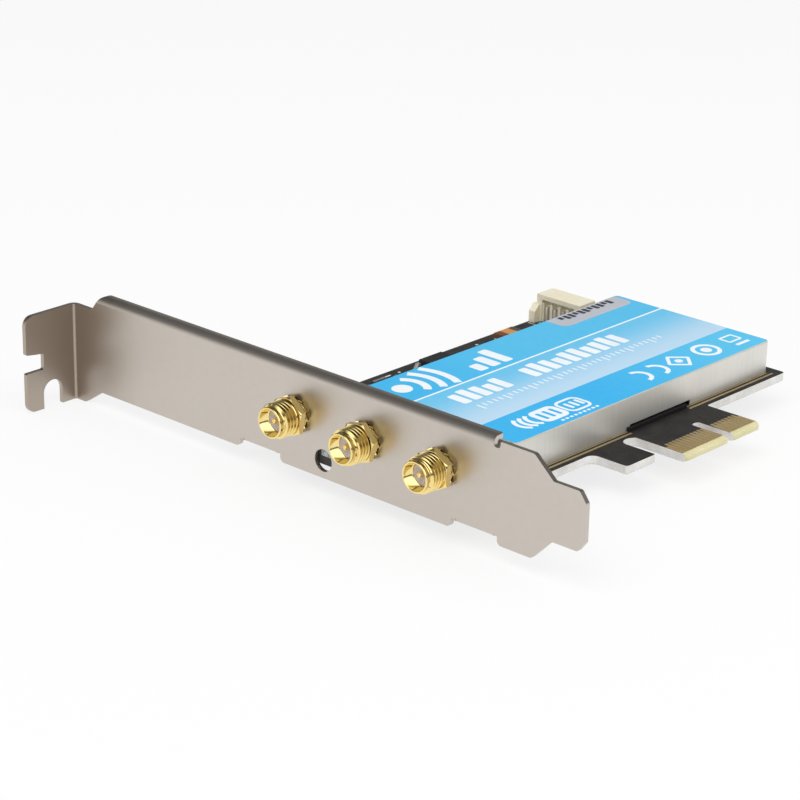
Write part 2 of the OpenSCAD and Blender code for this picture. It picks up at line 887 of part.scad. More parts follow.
// Snap-on plugs at the cables' ends
module cable_plugs() {
    barrel = plug_d / 2 + plug_barrel_len;
    color("gold")
        for (i = jacks)
            translate([plug_x(i), plug_y, module_top + receptacle_h])
                difference() {
                    union() {
                        cylinder(d = plug_d, h = plug_h);
                        translate([-plug_barrel_w / 2, -barrel, 0])
                            cube([plug_barrel_w, barrel, plug_h]);
                    }
                    translate([0, 0, -eps])
                        cylinder(d = receptacle_d + 2 * fit, h = eps + plug_inner_h);
                }
}

module module_receptacles() {
    color("gold")
        for (i = jacks)
            translate([plug_x(i), plug_y, module_top]) {
                translate([-plug_d / 2, -plug_d / 2, 0])
                    cube([plug_d, plug_d, receptacle_h]);
                difference() {
                    cylinder(d = receptacle_d, h = receptacle_h + receptacle_ring_h);
                    translate([0, 0, receptacle_h])
                        cylinder(d = receptacle_d - 2 * receptacle_wall, h = receptacle_ring_h + eps);
                }
                cylinder(d = receptacle_pin_d, h = receptacle_h + 0.8 * receptacle_ring_h);
            }
}

// Radio module's board with its screw holes and the key notch of its edge
module module_board() {
    color("darkgreen")
        translate([can_mid - module_w / 2, module_y, module_low])
            difference() {
                cube([module_w, module_len, module_t]);
                for (side = [-1, 1])
                    translate([module_w / 2 + side * module_screw_pitch / 2, module_screw_y, -eps])
                        cylinder(d = module_screw_d + 2 * screw_clear, h = module_t + 2 * eps);
                translate([module_w / 2 + module_key_off, module_len - module_grip, -eps])
                    cube([module_key_w, module_grip + eps, module_t + 2 * eps]);
            }
}

module module_shield() {
    color("silver")
        translate([can_mid - module_shield_w / 2, module_y + module_shield_in, module_top])
            cube([module_shield_w, module_shield_len, module_shield_h]);
}

module module_contacts() {
    color("gold")
        for (k = [0:module_contact_n - 1])
            for (z = [module_low - contact_t, module_top])
                module_contact((k - (module_contact_n - 1) / 2) * module_contact_pitch, z);
}

// One contact of the module, x from its middle line, left out where the key notch is
module module_contact(x, z) {
    if (abs(x - module_key_off - module_key_w / 2) > (module_key_w + module_contact_w) / 2)
        translate([can_mid + x - module_contact_w / 2, module_end - module_contact_len - module_contact_in, z])
            cube([module_contact_w, module_contact_len, contact_t]);
}

// Places what holds the module at its two screw holes
module at_module_screws() {
    for (side = [-1, 1])
        translate([can_mid + side * module_screw_pitch / 2, module_y + module_screw_y, 0])
            children();
}

module module_standoffs() {
    color("silver")
        at_module_screws()
            translate([0, 0, board_top])
                difference() {
                    cylinder(d = module_head_d, h = module_rise);
                    translate([0, 0, standoff_floor])
                        cylinder(d = module_screw_d + 2 * fit, h = module_rise);
                }
}

module module_screws() {
    color("silver")
        at_module_screws()
            translate([0, 0, module_top]) {
                cylinder(d = module_head_d, h = module_head_h);
                translate([0, 0, 1.5 * standoff_floor - module_rise - module_t])
                    cylinder(d = module_screw_d, h = module_rise + module_t);
            }
}

// Socket that grips the module's contact edge
module module_socket() {
    color([0.12, 0.12, 0.12])
        difference() {
            translate([can_mid - socket_w / 2, socket_y, board_top])
                cube([socket_w, socket_d, socket_h]);
            translate([can_mid - module_w / 2 - 2 * contact_t, socket_y - eps, module_low - 2 * contact_t])
                cube([module_w + 4 * contact_t, module_grip + eps, module_t + 4 * contact_t]);
        }
}

module socket_contacts() {
    color("gold")
        for (k = [0:module_contact_n - 1])
            translate([can_mid + (k - (module_contact_n - 1) / 2) * module_contact_pitch - socket_leg_w / 2,
                    socket_y + socket_d, board_top])
                cube([socket_leg_w, socket_leg, socket_leg_t]);
}

// Rounded rectangle from [x, y] by [w, l]
module plan(x, y, w, l, r) {
    outline([[x, y, r], [x + w, y, r], [x + w, y + l, r], [x, y + l, r]]);
}

// Drawn can: open below, with doors for the cables, a side relief and solder tabs
module shield_can() {
    color("silver")
        union() {
            difference() {
                translate([0, 0, board_top])
                    linear_extrude(can_h)
                        plan(can_left, can_y, can_w, can_len, can_corner_r);
                translate([0, 0, board_top - eps])
                    linear_extrude(can_h - can_t + eps)
                        plan(can_left + can_t, can_y + can_t, can_w - 2 * can_t,
                            can_len - 2 * can_t, can_corner_r - can_t);
                for (i = jacks) {
                    slab_y(can_y - eps, can_t + 2 * eps)
                        translate([door_x(i) - door_d / 2, board_top - eps])
                            square([door_d, eps + door_z - board_top]);
                    slab_y(can_y - eps, can_t + 2 * eps)
                        translate([door_x(i), door_z])
                            circle(d = door_d);
                }
                translate([can_left + can_w - can_t - eps, edge_y + relief_in, board_top - eps])
                    cube([can_t + 2 * eps, relief_len, relief_h + eps]);
            }
            for (y = can_tabs_y)
                for (x = [can_left, can_left + can_w - can_t])
                    translate([x, y - can_tab_w / 2, board_rise])
                        cube([can_t, can_tab_w, board_t]);
        }
}

module label() {
    color("deepskyblue")
        translate([0, 0, can_top])
            linear_extrude(label_t)
                plan(can_left + label_inset, can_y + label_inset, can_w - 2 * label_inset,
                    can_len - 2 * label_inset, label_r);
}

// Side-entry header: mating cavity at the far side, pocket for the legs at the near side
module header_housing() {
    color("blanchedalmond")
        difference() {
            translate([header_left, header_near, board_top])
                cube([header_w, header_d, header_h]);
            translate([header_left + header_wall, header_near + header_back, board_top + header_floor])
                cube([header_w - 2 * header_wall, header_d, header_h - header_floor - header_wall]);
            translate([header_left + 2 * header_wall, header_near + header_d - header_cut_d, header_top - 2 * header_wall])
                cube([header_w - 4 * header_wall, header_d, header_h]);
            difference() {
                translate([header_left + header_pocket_side, header_near - eps, board_top - eps])
                    cube([header_w - 2 * header_pocket_side, header_pocket + eps,
                        header_h - header_pocket_top + eps]);
                for (k = [0:header_pins_n])
                    translate([header_pin_x(k) - (header_pitch + header_rib_w) / 2,
                            header_near + header_rib_in, board_top - eps])
                        cube([header_rib_w, header_pocket, header_rib_h + eps]);
            }
            for (k = [0:header_pins_n - 1])
                translate([header_pin_x(k) - header_pin_t / 2, header_near, header_pin_z - header_pin_t / 2])
                    cube([header_pin_t, header_back + eps, header_pin_t]);
        }
}

function header_pin_x(k) =
    header_left + header_w / 2 + (k - (header_pins_n - 1) / 2) * header_pitch;

// Square pins that bend down behind the housing to feet on the board
module header_pins() {
    leg_y = header_near + header_leg_in;
    mouth_y = header_near + header_d - header_pin_in;
    color("lightgray")
        for (k = [0:header_pins_n - 1])
            translate([header_pin_x(k) - header_pin_t / 2, 0, 0])
                rotate([90, 0, 90])
                    linear_extrude(header_pin_t)
                        polygon([
                            [leg_y, header_pin_z + header_pin_t / 2],
                            [leg_y, board_top + header_pin_t / 2],
                            [leg_y - header_foot, board_top + header_pin_t / 2],
                            [leg_y - header_foot, board_top],
                            [leg_y + header_pin_t, board_top],
                            [leg_y + header_pin_t, header_pin_z - header_pin_t / 2],
                            [mouth_y, header_pin_z - header_pin_t / 2],
                            [mouth_y, header_pin_z + header_pin_t / 2]
                        ]);
}

// Solder anchors on the header's two sides, wider at the foot
module header_anchors() {
    color("lightgray")
        for (side = [0, 1])
            translate([header_left + header_w / 2, 0, 0])
                mirror([side, 0, 0])
                    translate([-header_w / 2 - anchor_t, 0, 0]) {
                        slab_x(0, anchor_t)
                            polygon([
                                [header_near + anchor_in, board_top],
                                [header_near + anchor_in + anchor_len, board_top],
                                [header_near + anchor_in + anchor_len - anchor_slope[0], board_top + anchor_h],
                                [header_near + anchor_in + anchor_slope[1], board_top + anchor_h]
                            ]);
                        translate([-anchor_foot, header_near + anchor_in, board_top])
                            cube([anchor_foot, anchor_len, anchor_t]);
                    }
}

// Clear side-view lamp on the board's near edge, its dome towards the hole
module status_led() {
    color("lightcyan")
        union() {
            translate([led_mid - led_w / 2, board_y, board_top])
                cube([led_w, led_d, led_d]);
            translate([led_mid, board_y, board_top + led_d / 2])
                rotate([90, 0, 0])
                    rotate_extrude()
                        polygon([
                            [0, -led_d / 2],
                            [led_dome_d / 2, -led_d / 2],
                            [led_dome_d / 2, 0.3 * led_dome_len],
                            [0.4 * led_dome_d, 0.7 * led_dome_len],
                            [0.2 * led_dome_d, 0.92 * led_dome_len],
                            [0, led_dome_len]
                        ]);
        }
}

module led_terminals() {
    color("silver")
        for (x = [led_mid - led_w / 2 - led_end, led_mid + led_w / 2])
            translate([x, board_y + led_end, board_top])
                cube([led_end, led_end_size, led_end_size]);
}

// Moulded regulator body with sloped sides
module voltage_regulator() {
    color([0.13, 0.13, 0.14])
        slab_y(reg_near, reg_len)
            polygon([
                [reg_left, board_top + reg_lift],
                [reg_left + reg_w, board_top + reg_lift],
                [reg_left + reg_w - reg_slope, board_top + reg_h],
                [reg_left + reg_slope, board_top + reg_h]
            ]);
}

// Regulator's two legs towards the bracket and its heat tab at the other side
module regulator_leads() {
    lead_t = 0.5;
    lead_w = 0.8;
    lead_in = 1;
    lead_z = board_top + reg_h / 2;
    bend_y = reg_near - 0.7;
    toe_y = reg_near - 1.5;
    tip_y = reg_near - 2.6;
    color("silver")
        union() {
            for (x = [reg_left + lead_in, reg_left + reg_w - lead_in - lead_w])
                slab_x(x, lead_w)
                    polygon([
                        [reg_near, lead_z],
                        [bend_y, lead_z],
                        [toe_y, board_top + lead_t],
                        [tip_y, board_top + lead_t],
                        [tip_y, board_top],
                        [toe_y + lead_t / 2, board_top],
                        [bend_y + lead_t / 2, lead_z - lead_t],
                        [reg_near, lead_z - lead_t]
                    ]);
            translate([reg_left + reg_tab_in, reg_near + lead_in, board_top])
                cube([reg_w - 2 * reg_tab_in, reg_len + lead_t, reg_lift]);
            translate([reg_left + reg_tab_in, reg_near + reg_len, board_top + reg_lift])
                cube([reg_w - 2 * reg_tab_in, lead_in, lead_t]);
        }
}

module tantalum_capacitor() {
    color("goldenrod")
        translate([tantalum_left, tantalum_near + tantalum_fold, board_top + tantalum_lift])
            cube([tantalum_w, tantalum_len - 2 * tantalum_fold, tantalum_h - tantalum_lift]);
}

// Metal ends folded under the tantalum capacitor
module tantalum_terminals() {
    end_w = 0.7 * tantalum_w;
    color("silver")
        for (side = [0, 1])
            translate([tantalum_left + (tantalum_w - end_w) / 2, tantalum_near + tantalum_len / 2, board_top])
                mirror([0, side, 0])
                    translate([0, -tantalum_len / 2, 0]) {
                        cube([end_w, tantalum_fold, 0.6 * tantalum_h]);
                        cube([end_w, tantalum_foot, tantalum_lift]);
                    }
}

// Middle part of a chip, between its metal ends
module chip_middle(spot, size) {
    translate([board_left + spot[0] - size[0] / 2 + chip_end, spot[1] - size[1] / 2, board_top])
        cube([size[0] - 2 * chip_end, size[1], size[2]]);
}

// Metal ends of a chip
module chip_ends(spot, size) {
    for (x = [-size[0] / 2, size[0] / 2 - chip_end])
        translate([board_left + spot[0] + x, spot[1] - size[1] / 2, board_top])
            cube([chip_end, size[1], size[2]]);
}

module ceramic_capacitors() {
    color("tan")
        for (spot = capacitor_spots)
            chip_middle(spot, capacitor_size);
}

module chip_resistors() {
    color([0.15, 0.15, 0.16])
        for (spot = resistor_spots)
            chip_middle(spot, resistor_size);
}

module chip_terminals() {
    color("silver") {
        for (spot = capacitor_spots)
            chip_ends(spot, capacitor_size);
        for (spot = resistor_spots)
            chip_ends(spot, resistor_size);
    }
}

bracket();
bracket_screws();
circuit_board();
edge_contacts();
ground_trace();
jack_body(0);  // jack_body_1
jack_body(1);  // jack_body_2
jack_body(2);  // jack_body_3
jack_insulator(0);  // jack_insulator_1
jack_insulator(1);  // jack_insulator_2
jack_insulator(2);  // jack_insulator_3
jack_pin(0);  // jack_pin_1
jack_pin(1);  // jack_pin_2
jack_pin(2);  // jack_pin_3
jack_nut(0);  // jack_nut_1
jack_nut(1);  // jack_nut_2
jack_nut(2);  // jack_nut_3
lock_washer(0);  // lock_washer_1
lock_washer(1);  // lock_washer_2
lock_washer(2);  // lock_washer_3
crimp_ferrule(0);  // crimp_ferrule_1
crimp_ferrule(1);  // crimp_ferrule_2
crimp_ferrule(2);  // crimp_ferrule_3
antenna_cable(0);  // antenna_cable_1
antenna_cable(1);  // antenna_cable_2
antenna_cable(2);  // antenna_cable_3
cable_plugs();
module_receptacles();
module_board();
module_shield();
module_contacts();
module_standoffs();
module_screws();
module_socket();
socket_contacts();
shield_can();
label();
header_housing();
header_pins();
header_anchors();
status_led();
led_terminals();
voltage_regulator();
regulator_leads();
tantalum_capacitor();
tantalum_terminals();
ceramic_capacitors();
chip_resistors();
chip_terminals();
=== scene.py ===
"""The look of a slot card with three antenna jacks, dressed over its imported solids."""
import json
import logging
import math
from contextlib import contextmanager
from dataclasses import dataclass, field
from enum import Enum
from typing import Callable, Iterator, Sequence

import bpy
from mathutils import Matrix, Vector

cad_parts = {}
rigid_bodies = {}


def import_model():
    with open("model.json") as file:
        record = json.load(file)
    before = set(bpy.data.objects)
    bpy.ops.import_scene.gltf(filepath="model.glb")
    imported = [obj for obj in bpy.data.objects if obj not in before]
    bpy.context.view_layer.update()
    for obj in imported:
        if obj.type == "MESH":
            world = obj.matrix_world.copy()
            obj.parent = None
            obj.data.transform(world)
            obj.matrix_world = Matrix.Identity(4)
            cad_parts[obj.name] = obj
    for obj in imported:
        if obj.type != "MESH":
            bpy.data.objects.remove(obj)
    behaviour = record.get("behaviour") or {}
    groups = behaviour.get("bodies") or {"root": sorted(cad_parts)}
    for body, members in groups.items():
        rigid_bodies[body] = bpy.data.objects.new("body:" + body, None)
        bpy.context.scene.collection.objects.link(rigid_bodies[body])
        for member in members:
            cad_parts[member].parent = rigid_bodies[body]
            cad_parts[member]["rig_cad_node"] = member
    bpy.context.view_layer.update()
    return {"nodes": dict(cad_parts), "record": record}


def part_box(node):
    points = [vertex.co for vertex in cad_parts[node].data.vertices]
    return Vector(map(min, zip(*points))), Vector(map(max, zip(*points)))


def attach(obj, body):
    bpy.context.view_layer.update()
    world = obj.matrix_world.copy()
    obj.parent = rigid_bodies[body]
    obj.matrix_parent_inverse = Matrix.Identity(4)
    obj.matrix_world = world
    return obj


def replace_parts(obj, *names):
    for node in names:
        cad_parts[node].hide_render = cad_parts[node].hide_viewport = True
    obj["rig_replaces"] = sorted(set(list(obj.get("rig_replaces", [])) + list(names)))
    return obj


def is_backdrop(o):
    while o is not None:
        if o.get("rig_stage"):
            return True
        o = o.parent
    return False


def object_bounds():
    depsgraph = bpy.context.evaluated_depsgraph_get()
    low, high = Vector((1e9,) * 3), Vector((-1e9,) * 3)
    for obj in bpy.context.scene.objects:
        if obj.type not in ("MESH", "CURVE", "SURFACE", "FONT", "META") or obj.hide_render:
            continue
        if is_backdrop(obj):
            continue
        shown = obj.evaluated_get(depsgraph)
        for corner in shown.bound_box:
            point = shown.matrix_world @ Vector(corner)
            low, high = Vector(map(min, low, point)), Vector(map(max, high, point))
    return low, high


LOG = logging.getLogger("card")
MM = 0.001
SAME_POINT = 0.5e-6
BEVEL_FROM = math.radians(35)
SHARP_FROM = math.radians(38)
FLAT_WITHIN = math.radians(0.6)
ALONG_X = (1.0, 0.0, 0.0)
ALONG_Y = (0.0, 1.0, 0.0)
Shade = tuple[int, int, int]
Colour = tuple[float, float, float, float]
Pair = tuple[float, float]
Triple = tuple[float, float, float]
Fade = tuple[Triple, float, float, Shade]
Test = Callable[[Vector, Vector], bool]
Piece = bpy.types.Object
Tree = bpy.types.NodeTree
Socket = bpy.types.NodeSocket


class Pick(Enum):
    """What is selected of a mesh in edit mode."""

    FACES = "FACE"
    EDGES = "EDGE"


class Keep(Enum):
    """What is kept of a piece that is carved with another."""

    OUTSIDE = "DIFFERENCE"
    INSIDE = "INTERSECT"


def ink(shade: Shade) -> Colour:
    """Turn a colour as it is seen, 0 to 255 a channel, into the shader's linear one with full alpha."""
    linear = [((c / 255 + 0.055) / 1.055) ** 2.4 if c > 10 else c / 255 / 12.92 for c in shade]
    return (linear[0], linear[1], linear[2], 1.0)


class Wiring:
    """Adds nodes to one shader tree and joins them."""

    def __init__(self, tree: Tree) -> None:
        """Keep the tree that the nodes go to."""
        self.tree = tree

    def put(self, socket: Socket, value: object) -> None:
        """Join a socket to another one, or set it to a constant.

        Args:
            socket: The input to fill.
            value: An output socket or a constant.
        """
        if isinstance(value, bpy.types.NodeSocket):
            self.tree.links.new(value, socket)
        else:
            socket.default_value = value

    def fill(self, node: bpy.types.Node, inputs: dict) -> None:
        """Fill a node's inputs, each given by its name or number."""
        for name, value in inputs.items():
            self.put(node.inputs[name], value)

    def add(self, kind: str, inputs: dict | None = None, **options: object) -> dict[str, Socket]:
        """Add a node, set its options and fill its inputs.

        Args:
            kind: The node's type after "ShaderNode".
            inputs: A constant or a socket for each input that isn't left as it is.
            options: The node's own options.

        Returns:
            The node's outputs, by name.
        """
        node = self.tree.nodes.new("ShaderNode" + kind)
        for name, value in options.items():
            setattr(node, name, value)
        self.fill(node, inputs or {})
        return node.outputs

    def math(self, operation: str, *values: object) -> Socket:
        """Add one step of arithmetic and return its result."""
        return self.add("Math", dict(enumerate(values)), operation=operation)["Value"]

    def dot(self, *vectors: object) -> Socket:
        """Add the dot product of two vectors and return it."""
        return self.add("VectorMath", dict(enumerate(vectors)), operation="DOT_PRODUCT")["Value"]

    def mix(self, share: object, low: object, high: object, kind: str = "FLOAT") -> Socket:
        """Mix two numbers, or two colours of kind RGBA, by a share and return the result."""
        return self.add("Mix", {"Factor": share, "A": low, "B": high}, data_type=kind)["Result"]

    def ramp(self, value: Socket, over: Sequence[object], to: Pair = (0.0, 1.0),
             kind: str = "SMOOTHSTEP") -> Socket:
        """Ramp a value from one range to another.

        Args:
            value: The socket to ramp.
            over: The range that it comes in.
            to: The range that it goes out.
            kind: How it runs between the ends.

        Returns:
            The result's socket.
        """
        names = ("Value", "From Min", "From Max", "To Min", "To Max")
        return self.add("MapRange", dict(zip(names, (value, *over, *to))), interpolation_type=kind)["Result"]


class Grain:
    """Builds the node groups that the finishes share, each of them once."""

    @staticmethod
    def _open(name: str, takes: dict[str, str], gives: dict[str, str]) -> tuple[Wiring, dict, bpy.types.Node]:
        """Start a group with its named sockets.

        Args:
            name: The group's name.
            takes: The kind of each input.
            gives: The kind of each output.

        Returns:
            The group's wiring, its inputs by name and the node that takes what it puts out.
        """
        tree = bpy.data.node_groups.new(name, "ShaderNodeTree")
        for way, sockets in (("INPUT", takes), ("OUTPUT", gives)):
            for socket, kind in sockets.items():
                tree.interface.new_socket(name=socket, in_out=way, socket_type="NodeSocket" + kind)
        return Wiring(tree), tree.nodes.new("NodeGroupInput").outputs, tree.nodes.new("NodeGroupOutput")

    @classmethod
    def fleck(cls) -> Tree:
        """Build fine noise, stretched as the material's grain runs.

        Returns:
            A group that puts out a colour, a roughness and a height.
        """
        found = bpy.data.node_groups.get("fleck")
        if found:
            return found
        takes = {"Stretch": "Vector", "Light": "Color", "Dark": "Color"}
        takes.update({name: "Float" for name in ("Smooth", "Rough", "Cloud")})
        gives = {"Color": "Color", "Roughness": "Float", "Height": "Float"}
        work, given, out = cls._open("fleck", takes, gives)
        place = work.add("TexCoord")["Object"]
        scaled = work.add("VectorMath", {0: place, 1: given["Stretch"]}, operation="MULTIPLY")["Vector"]
        fine = work.add("TexNoise", {"Vector": scaled, "Scale": 1.0, "Detail": 5.0, "Roughness": 0.65})["Fac"]
        cloud = work.add("TexNoise", {"Vector": place, "Scale": given["Cloud"], "Detail": 2.0})["Fac"]
        both = work.math("MULTIPLY_ADD", fine, 0.5, work.math("MULTIPLY", cloud, 0.5))
        spread = work.ramp(both, (0.36, 0.64), kind="LINEAR")
        work.fill(out, {"Color": work.mix(spread, given["Dark"], given["Light"], "RGBA"),
                        "Roughness": work.mix(spread, given["Rough"], given["Smooth"]), "Height": fine})
        return work.tree

    @classmethod
    def ramp_across(cls) -> Tree:
        """Build a soft ramp along one direction of the object.

        Returns:
            A group that puts out a mask from 0 at Start to 1 at End.
        """
        found = bpy.data.node_groups.get("ramp_across")
        if found:
            return found
        work, given, out = cls._open(
            "ramp_across", {"Direction": "Vector", "Start": "Float", "End": "Float"}, {"Mask": "Float"})
        along = work.dot(work.add("TexCoord")["Object"], given["Direction"])
        work.fill(out, {"Mask": work.ramp(along, (given["Start"], given["End"]))})
        return work.tree


@dataclass(frozen=True)
class Finish:
    """A surface finish: two close tones, a range of roughness and a fine relief.

    stretch is the grain's frequency along X, Y and Z in cycles a metre, cloud that of the large, faint
    unevenness, and relief the depth of the grain in millimetres. fades are soft changes to other tones, some
    of them painted shade: each holds a direction, the places in millimetres where it starts and ends, and its
    tone.
    """

    name: str
    light: Shade
    dark: Shade
    smooth: float
    rough: float
    metallic: float = 0.0
    stretch: Triple = (900.0, 900.0, 900.0)
    cloud: float = 45.0
    relief: float = 0.01
    gloss: float = 0.5
    coat: float = 0.0
    see_through: float = 0.0
    glow_depth: float = 0.0
    fades: tuple[Fade, ...] = ()

    def _colour(self, work: Wiring, ground: Socket) -> Socket:
        """Mix each fade over the ground colour.

        Args:
            work: The material's wiring.
            ground: The colour of the grain.

        Returns:
            The socket that colours the surface.
        """
        for direction, start, end, shade in self.fades:
            mask = work.add("Group", {"Direction": direction, "Start": start * MM, "End": end * MM},
                            node_tree=Grain.ramp_across())["Mask"]
            ground = work.mix(mask, ground, ink(shade), "RGBA")
        return ground

    def material(self) -> bpy.types.Material:
        """Build the material, or return the one that was built before.

        Returns:
            The finish as a material.
        """
        name = "finish_" + self.name
        found = bpy.data.materials.get(name)
        if found:
            return found
        material = bpy.data.materials.new(name)
        material.use_nodes = True
        work = Wiring(material.node_tree)
        grain = work.add("Group", {
            "Stretch": self.stretch, "Light": ink(self.light), "Dark": ink(self.dark), "Smooth": self.smooth,
            "Rough": self.rough, "Cloud": self.cloud}, node_tree=Grain.fleck())
        bump = work.add("Bump", {"Strength": 0.35, "Distance": self.relief * MM, "Height": grain["Height"]})
        work.fill(material.node_tree.nodes["Principled BSDF"], {
            "Base Color": self._colour(work, grain["Color"]), "Roughness": grain["Roughness"],
            "Normal": bump["Normal"], "Metallic": self.metallic, "Specular IOR Level": self.gloss,
            "Coat Weight": self.coat, "Coat Roughness": 0.08, "Transmission Weight": self.see_through,
            "Subsurface Weight": self.glow_depth, "Subsurface Scale": 0.0006, "IOR": 1.5})
        return material


def printed(name: str, light: Shade, dark: Shade, smooth: float, rough: float, cloud: float,
            *fades: Fade) -> Finish:
    """Return the finish of a thin, even layer of print or film."""
    return Finish(name, light, dark, smooth, rough, cloud=cloud, relief=0.0005, gloss=0.3, fades=fades)


# The fade is painted shade: it darkens the plate over its last 20 mm towards the bend, and the whole tab past
# it.
NICKEL = Finish("satin_nickel", (207, 199, 190), (204, 196, 186), 0.36, 0.40, metallic=1.0, relief=0.0005,
                stretch=(500.0, 800.0, 800.0), cloud=28.0, fades=((ALONG_X, 20.0, 1.5, (180, 168, 156)),))
TIN = Finish("bright_tin", (234, 232, 226), (222, 220, 213), 0.42, 0.5, metallic=0.8,
             stretch=(1800.0, 2600.0, 120.0), cloud=60.0, relief=0.003)
GOLD = Finish("polished_gold", (250, 228, 160), (243, 217, 141), 0.08, 0.14, metallic=1.0,
              stretch=(1500.0, 1500.0, 1500.0), cloud=120.0, relief=0.002)
FLASH_GOLD = Finish("flash_gold", (243, 221, 172), (228, 202, 149), 0.34, 0.46, metallic=0.8,
                    stretch=(300.0, 2500.0, 300.0), cloud=150.0, relief=0.004)
SCREW_STEEL = Finish("bright_screw", (222, 220, 216), (204, 202, 198), 0.22, 0.34, metallic=1.0, relief=0.004)
SOLDER = Finish("solder", (215, 216, 218), (186, 188, 192), 0.2, 0.4, metallic=1.0, cloud=300.0, relief=0.02)
MASK = Finish("black_mask", (50, 48, 46), (34, 33, 32), 0.36, 0.5, stretch=(2600.0, 2600.0, 2600.0),
              cloud=300.0, relief=0.006, gloss=0.3)
TRACE = Finish("masked_copper", (58, 55, 52), (44, 42, 41), 0.3, 0.4, cloud=90.0, relief=0.002, gloss=0.35)
# The fade is painted shade: it darkens the board's edges to near black within 4 mm of the bracket, where the
# plate shades them.
LAMINATE = Finish("laminate_edge", (240, 239, 236), (200, 198, 193), 0.5, 0.72,
                  stretch=(2600.0, 2600.0, 9000.0), cloud=200.0, relief=0.03, glow_depth=0.2,
                  fades=((ALONG_Y, 4.0, 2.5, (62, 60, 54)),))
TONGUE = Finish("contact_ground", (176, 152, 102), (150, 128, 82), 0.4, 0.55, relief=0.004)
BARE_LAMINATE = Finish("bare_laminate", (229, 223, 184), (208, 201, 154), 0.42, 0.58,
                       stretch=(2400.0, 2400.0, 5000.0), cloud=160.0, relief=0.015, glow_depth=0.2)
SILK = Finish("board_legend", (222, 222, 218), (190, 190, 186), 0.5, 0.65, cloud=400.0, relief=0.01)
CREAM = Finish("cream_plastic", (240, 233, 210), (230, 222, 196), 0.42, 0.56, cloud=90.0, relief=0.008,
               glow_depth=0.15)
EPOXY = Finish("black_epoxy", (44, 44, 46), (30, 30, 32), 0.44, 0.62, stretch=(3200.0, 3200.0, 3200.0),
               relief=0.015, gloss=0.35)
SOCKET = Finish("socket_plastic", (30, 30, 31), (21, 21, 22), 0.4, 0.55, relief=0.012, gloss=0.3)
RESIN = Finish("tantalum_resin", (214, 150, 76), (198, 134, 60), 0.3, 0.42, relief=0.01,
               fades=((ALONG_Y, 65.2, 65.0, (112, 64, 30)), (ALONG_Y, 67.3, 67.5, (74, 66, 58))))
CERAMIC = Finish("ceramic", (190, 152, 108), (164, 126, 86), 0.4, 0.55, cloud=500.0, relief=0.01)
CLEAR = Finish("clear_lamp", (236, 244, 242), (222, 234, 232), 0.04, 0.1, see_through=0.4, relief=0.002)
POTTING = Finish("white_insulator", (232, 218, 212), (220, 204, 198), 0.36, 0.5, relief=0.004,
                 glow_depth=0.25)
JACKET = Finish("cable_jacket", (52, 52, 54), (38, 38, 40), 0.4, 0.54, relief=0.008)
MODULE_MASK = Finish("module_mask", (34, 92, 62), (24, 72, 48), 0.3, 0.42, cloud=110.0, relief=0.006,
                     coat=0.3)
SKY = printed("label_sky", (84, 196, 240), (78, 190, 236), 0.3, 0.38, 20.0,
              (ALONG_Y, 60.0, 20.0, (58, 184, 238)))
FADE = printed("label_fade", (108, 200, 240), (102, 195, 237), 0.3, 0.38, 20.0,
               (ALONG_X, 67.5, 82.5, (190, 221, 243)))
BAND = printed("label_band", (54, 184, 241), (48, 179, 238), 0.3, 0.38, 20.0,
               (ALONG_Y, 40.0, 88.0, (86, 198, 241)))
PLATE_GREY = printed("label_grey", (190, 194, 202), (182, 186, 195), 0.3, 0.42, 60.0)
WHITE_INK = printed("label_white", (246, 250, 252), (236, 242, 248), 0.34, 0.42, 160.0)
FILM_EDGE = printed("film_edge", (246, 236, 208), (236, 224, 192), 0.4, 0.5, 45.0)
DARK_INK = printed("label_dark", (58, 62, 70), (44, 48, 56), 0.34, 0.42, 160.0)

SLOT_FINISH: dict[str, Finish] = {
    "bracket_metal": NICKEL, "board": MASK, "gold_contacts": FLASH_GOLD, "gold_jack": GOLD,
    "insulator": POTTING, "screw_metal": SCREW_STEEL, "tin": TIN, "label_print": SKY,
    "module_mask": MODULE_MASK, "socket_plastic": SOCKET, "header_plastic": CREAM, "cable_jacket": JACKET,
    "lamp": CLEAR, "mould_compound": EPOXY, "tantalum_resin": RESIN, "ceramic": CERAMIC}


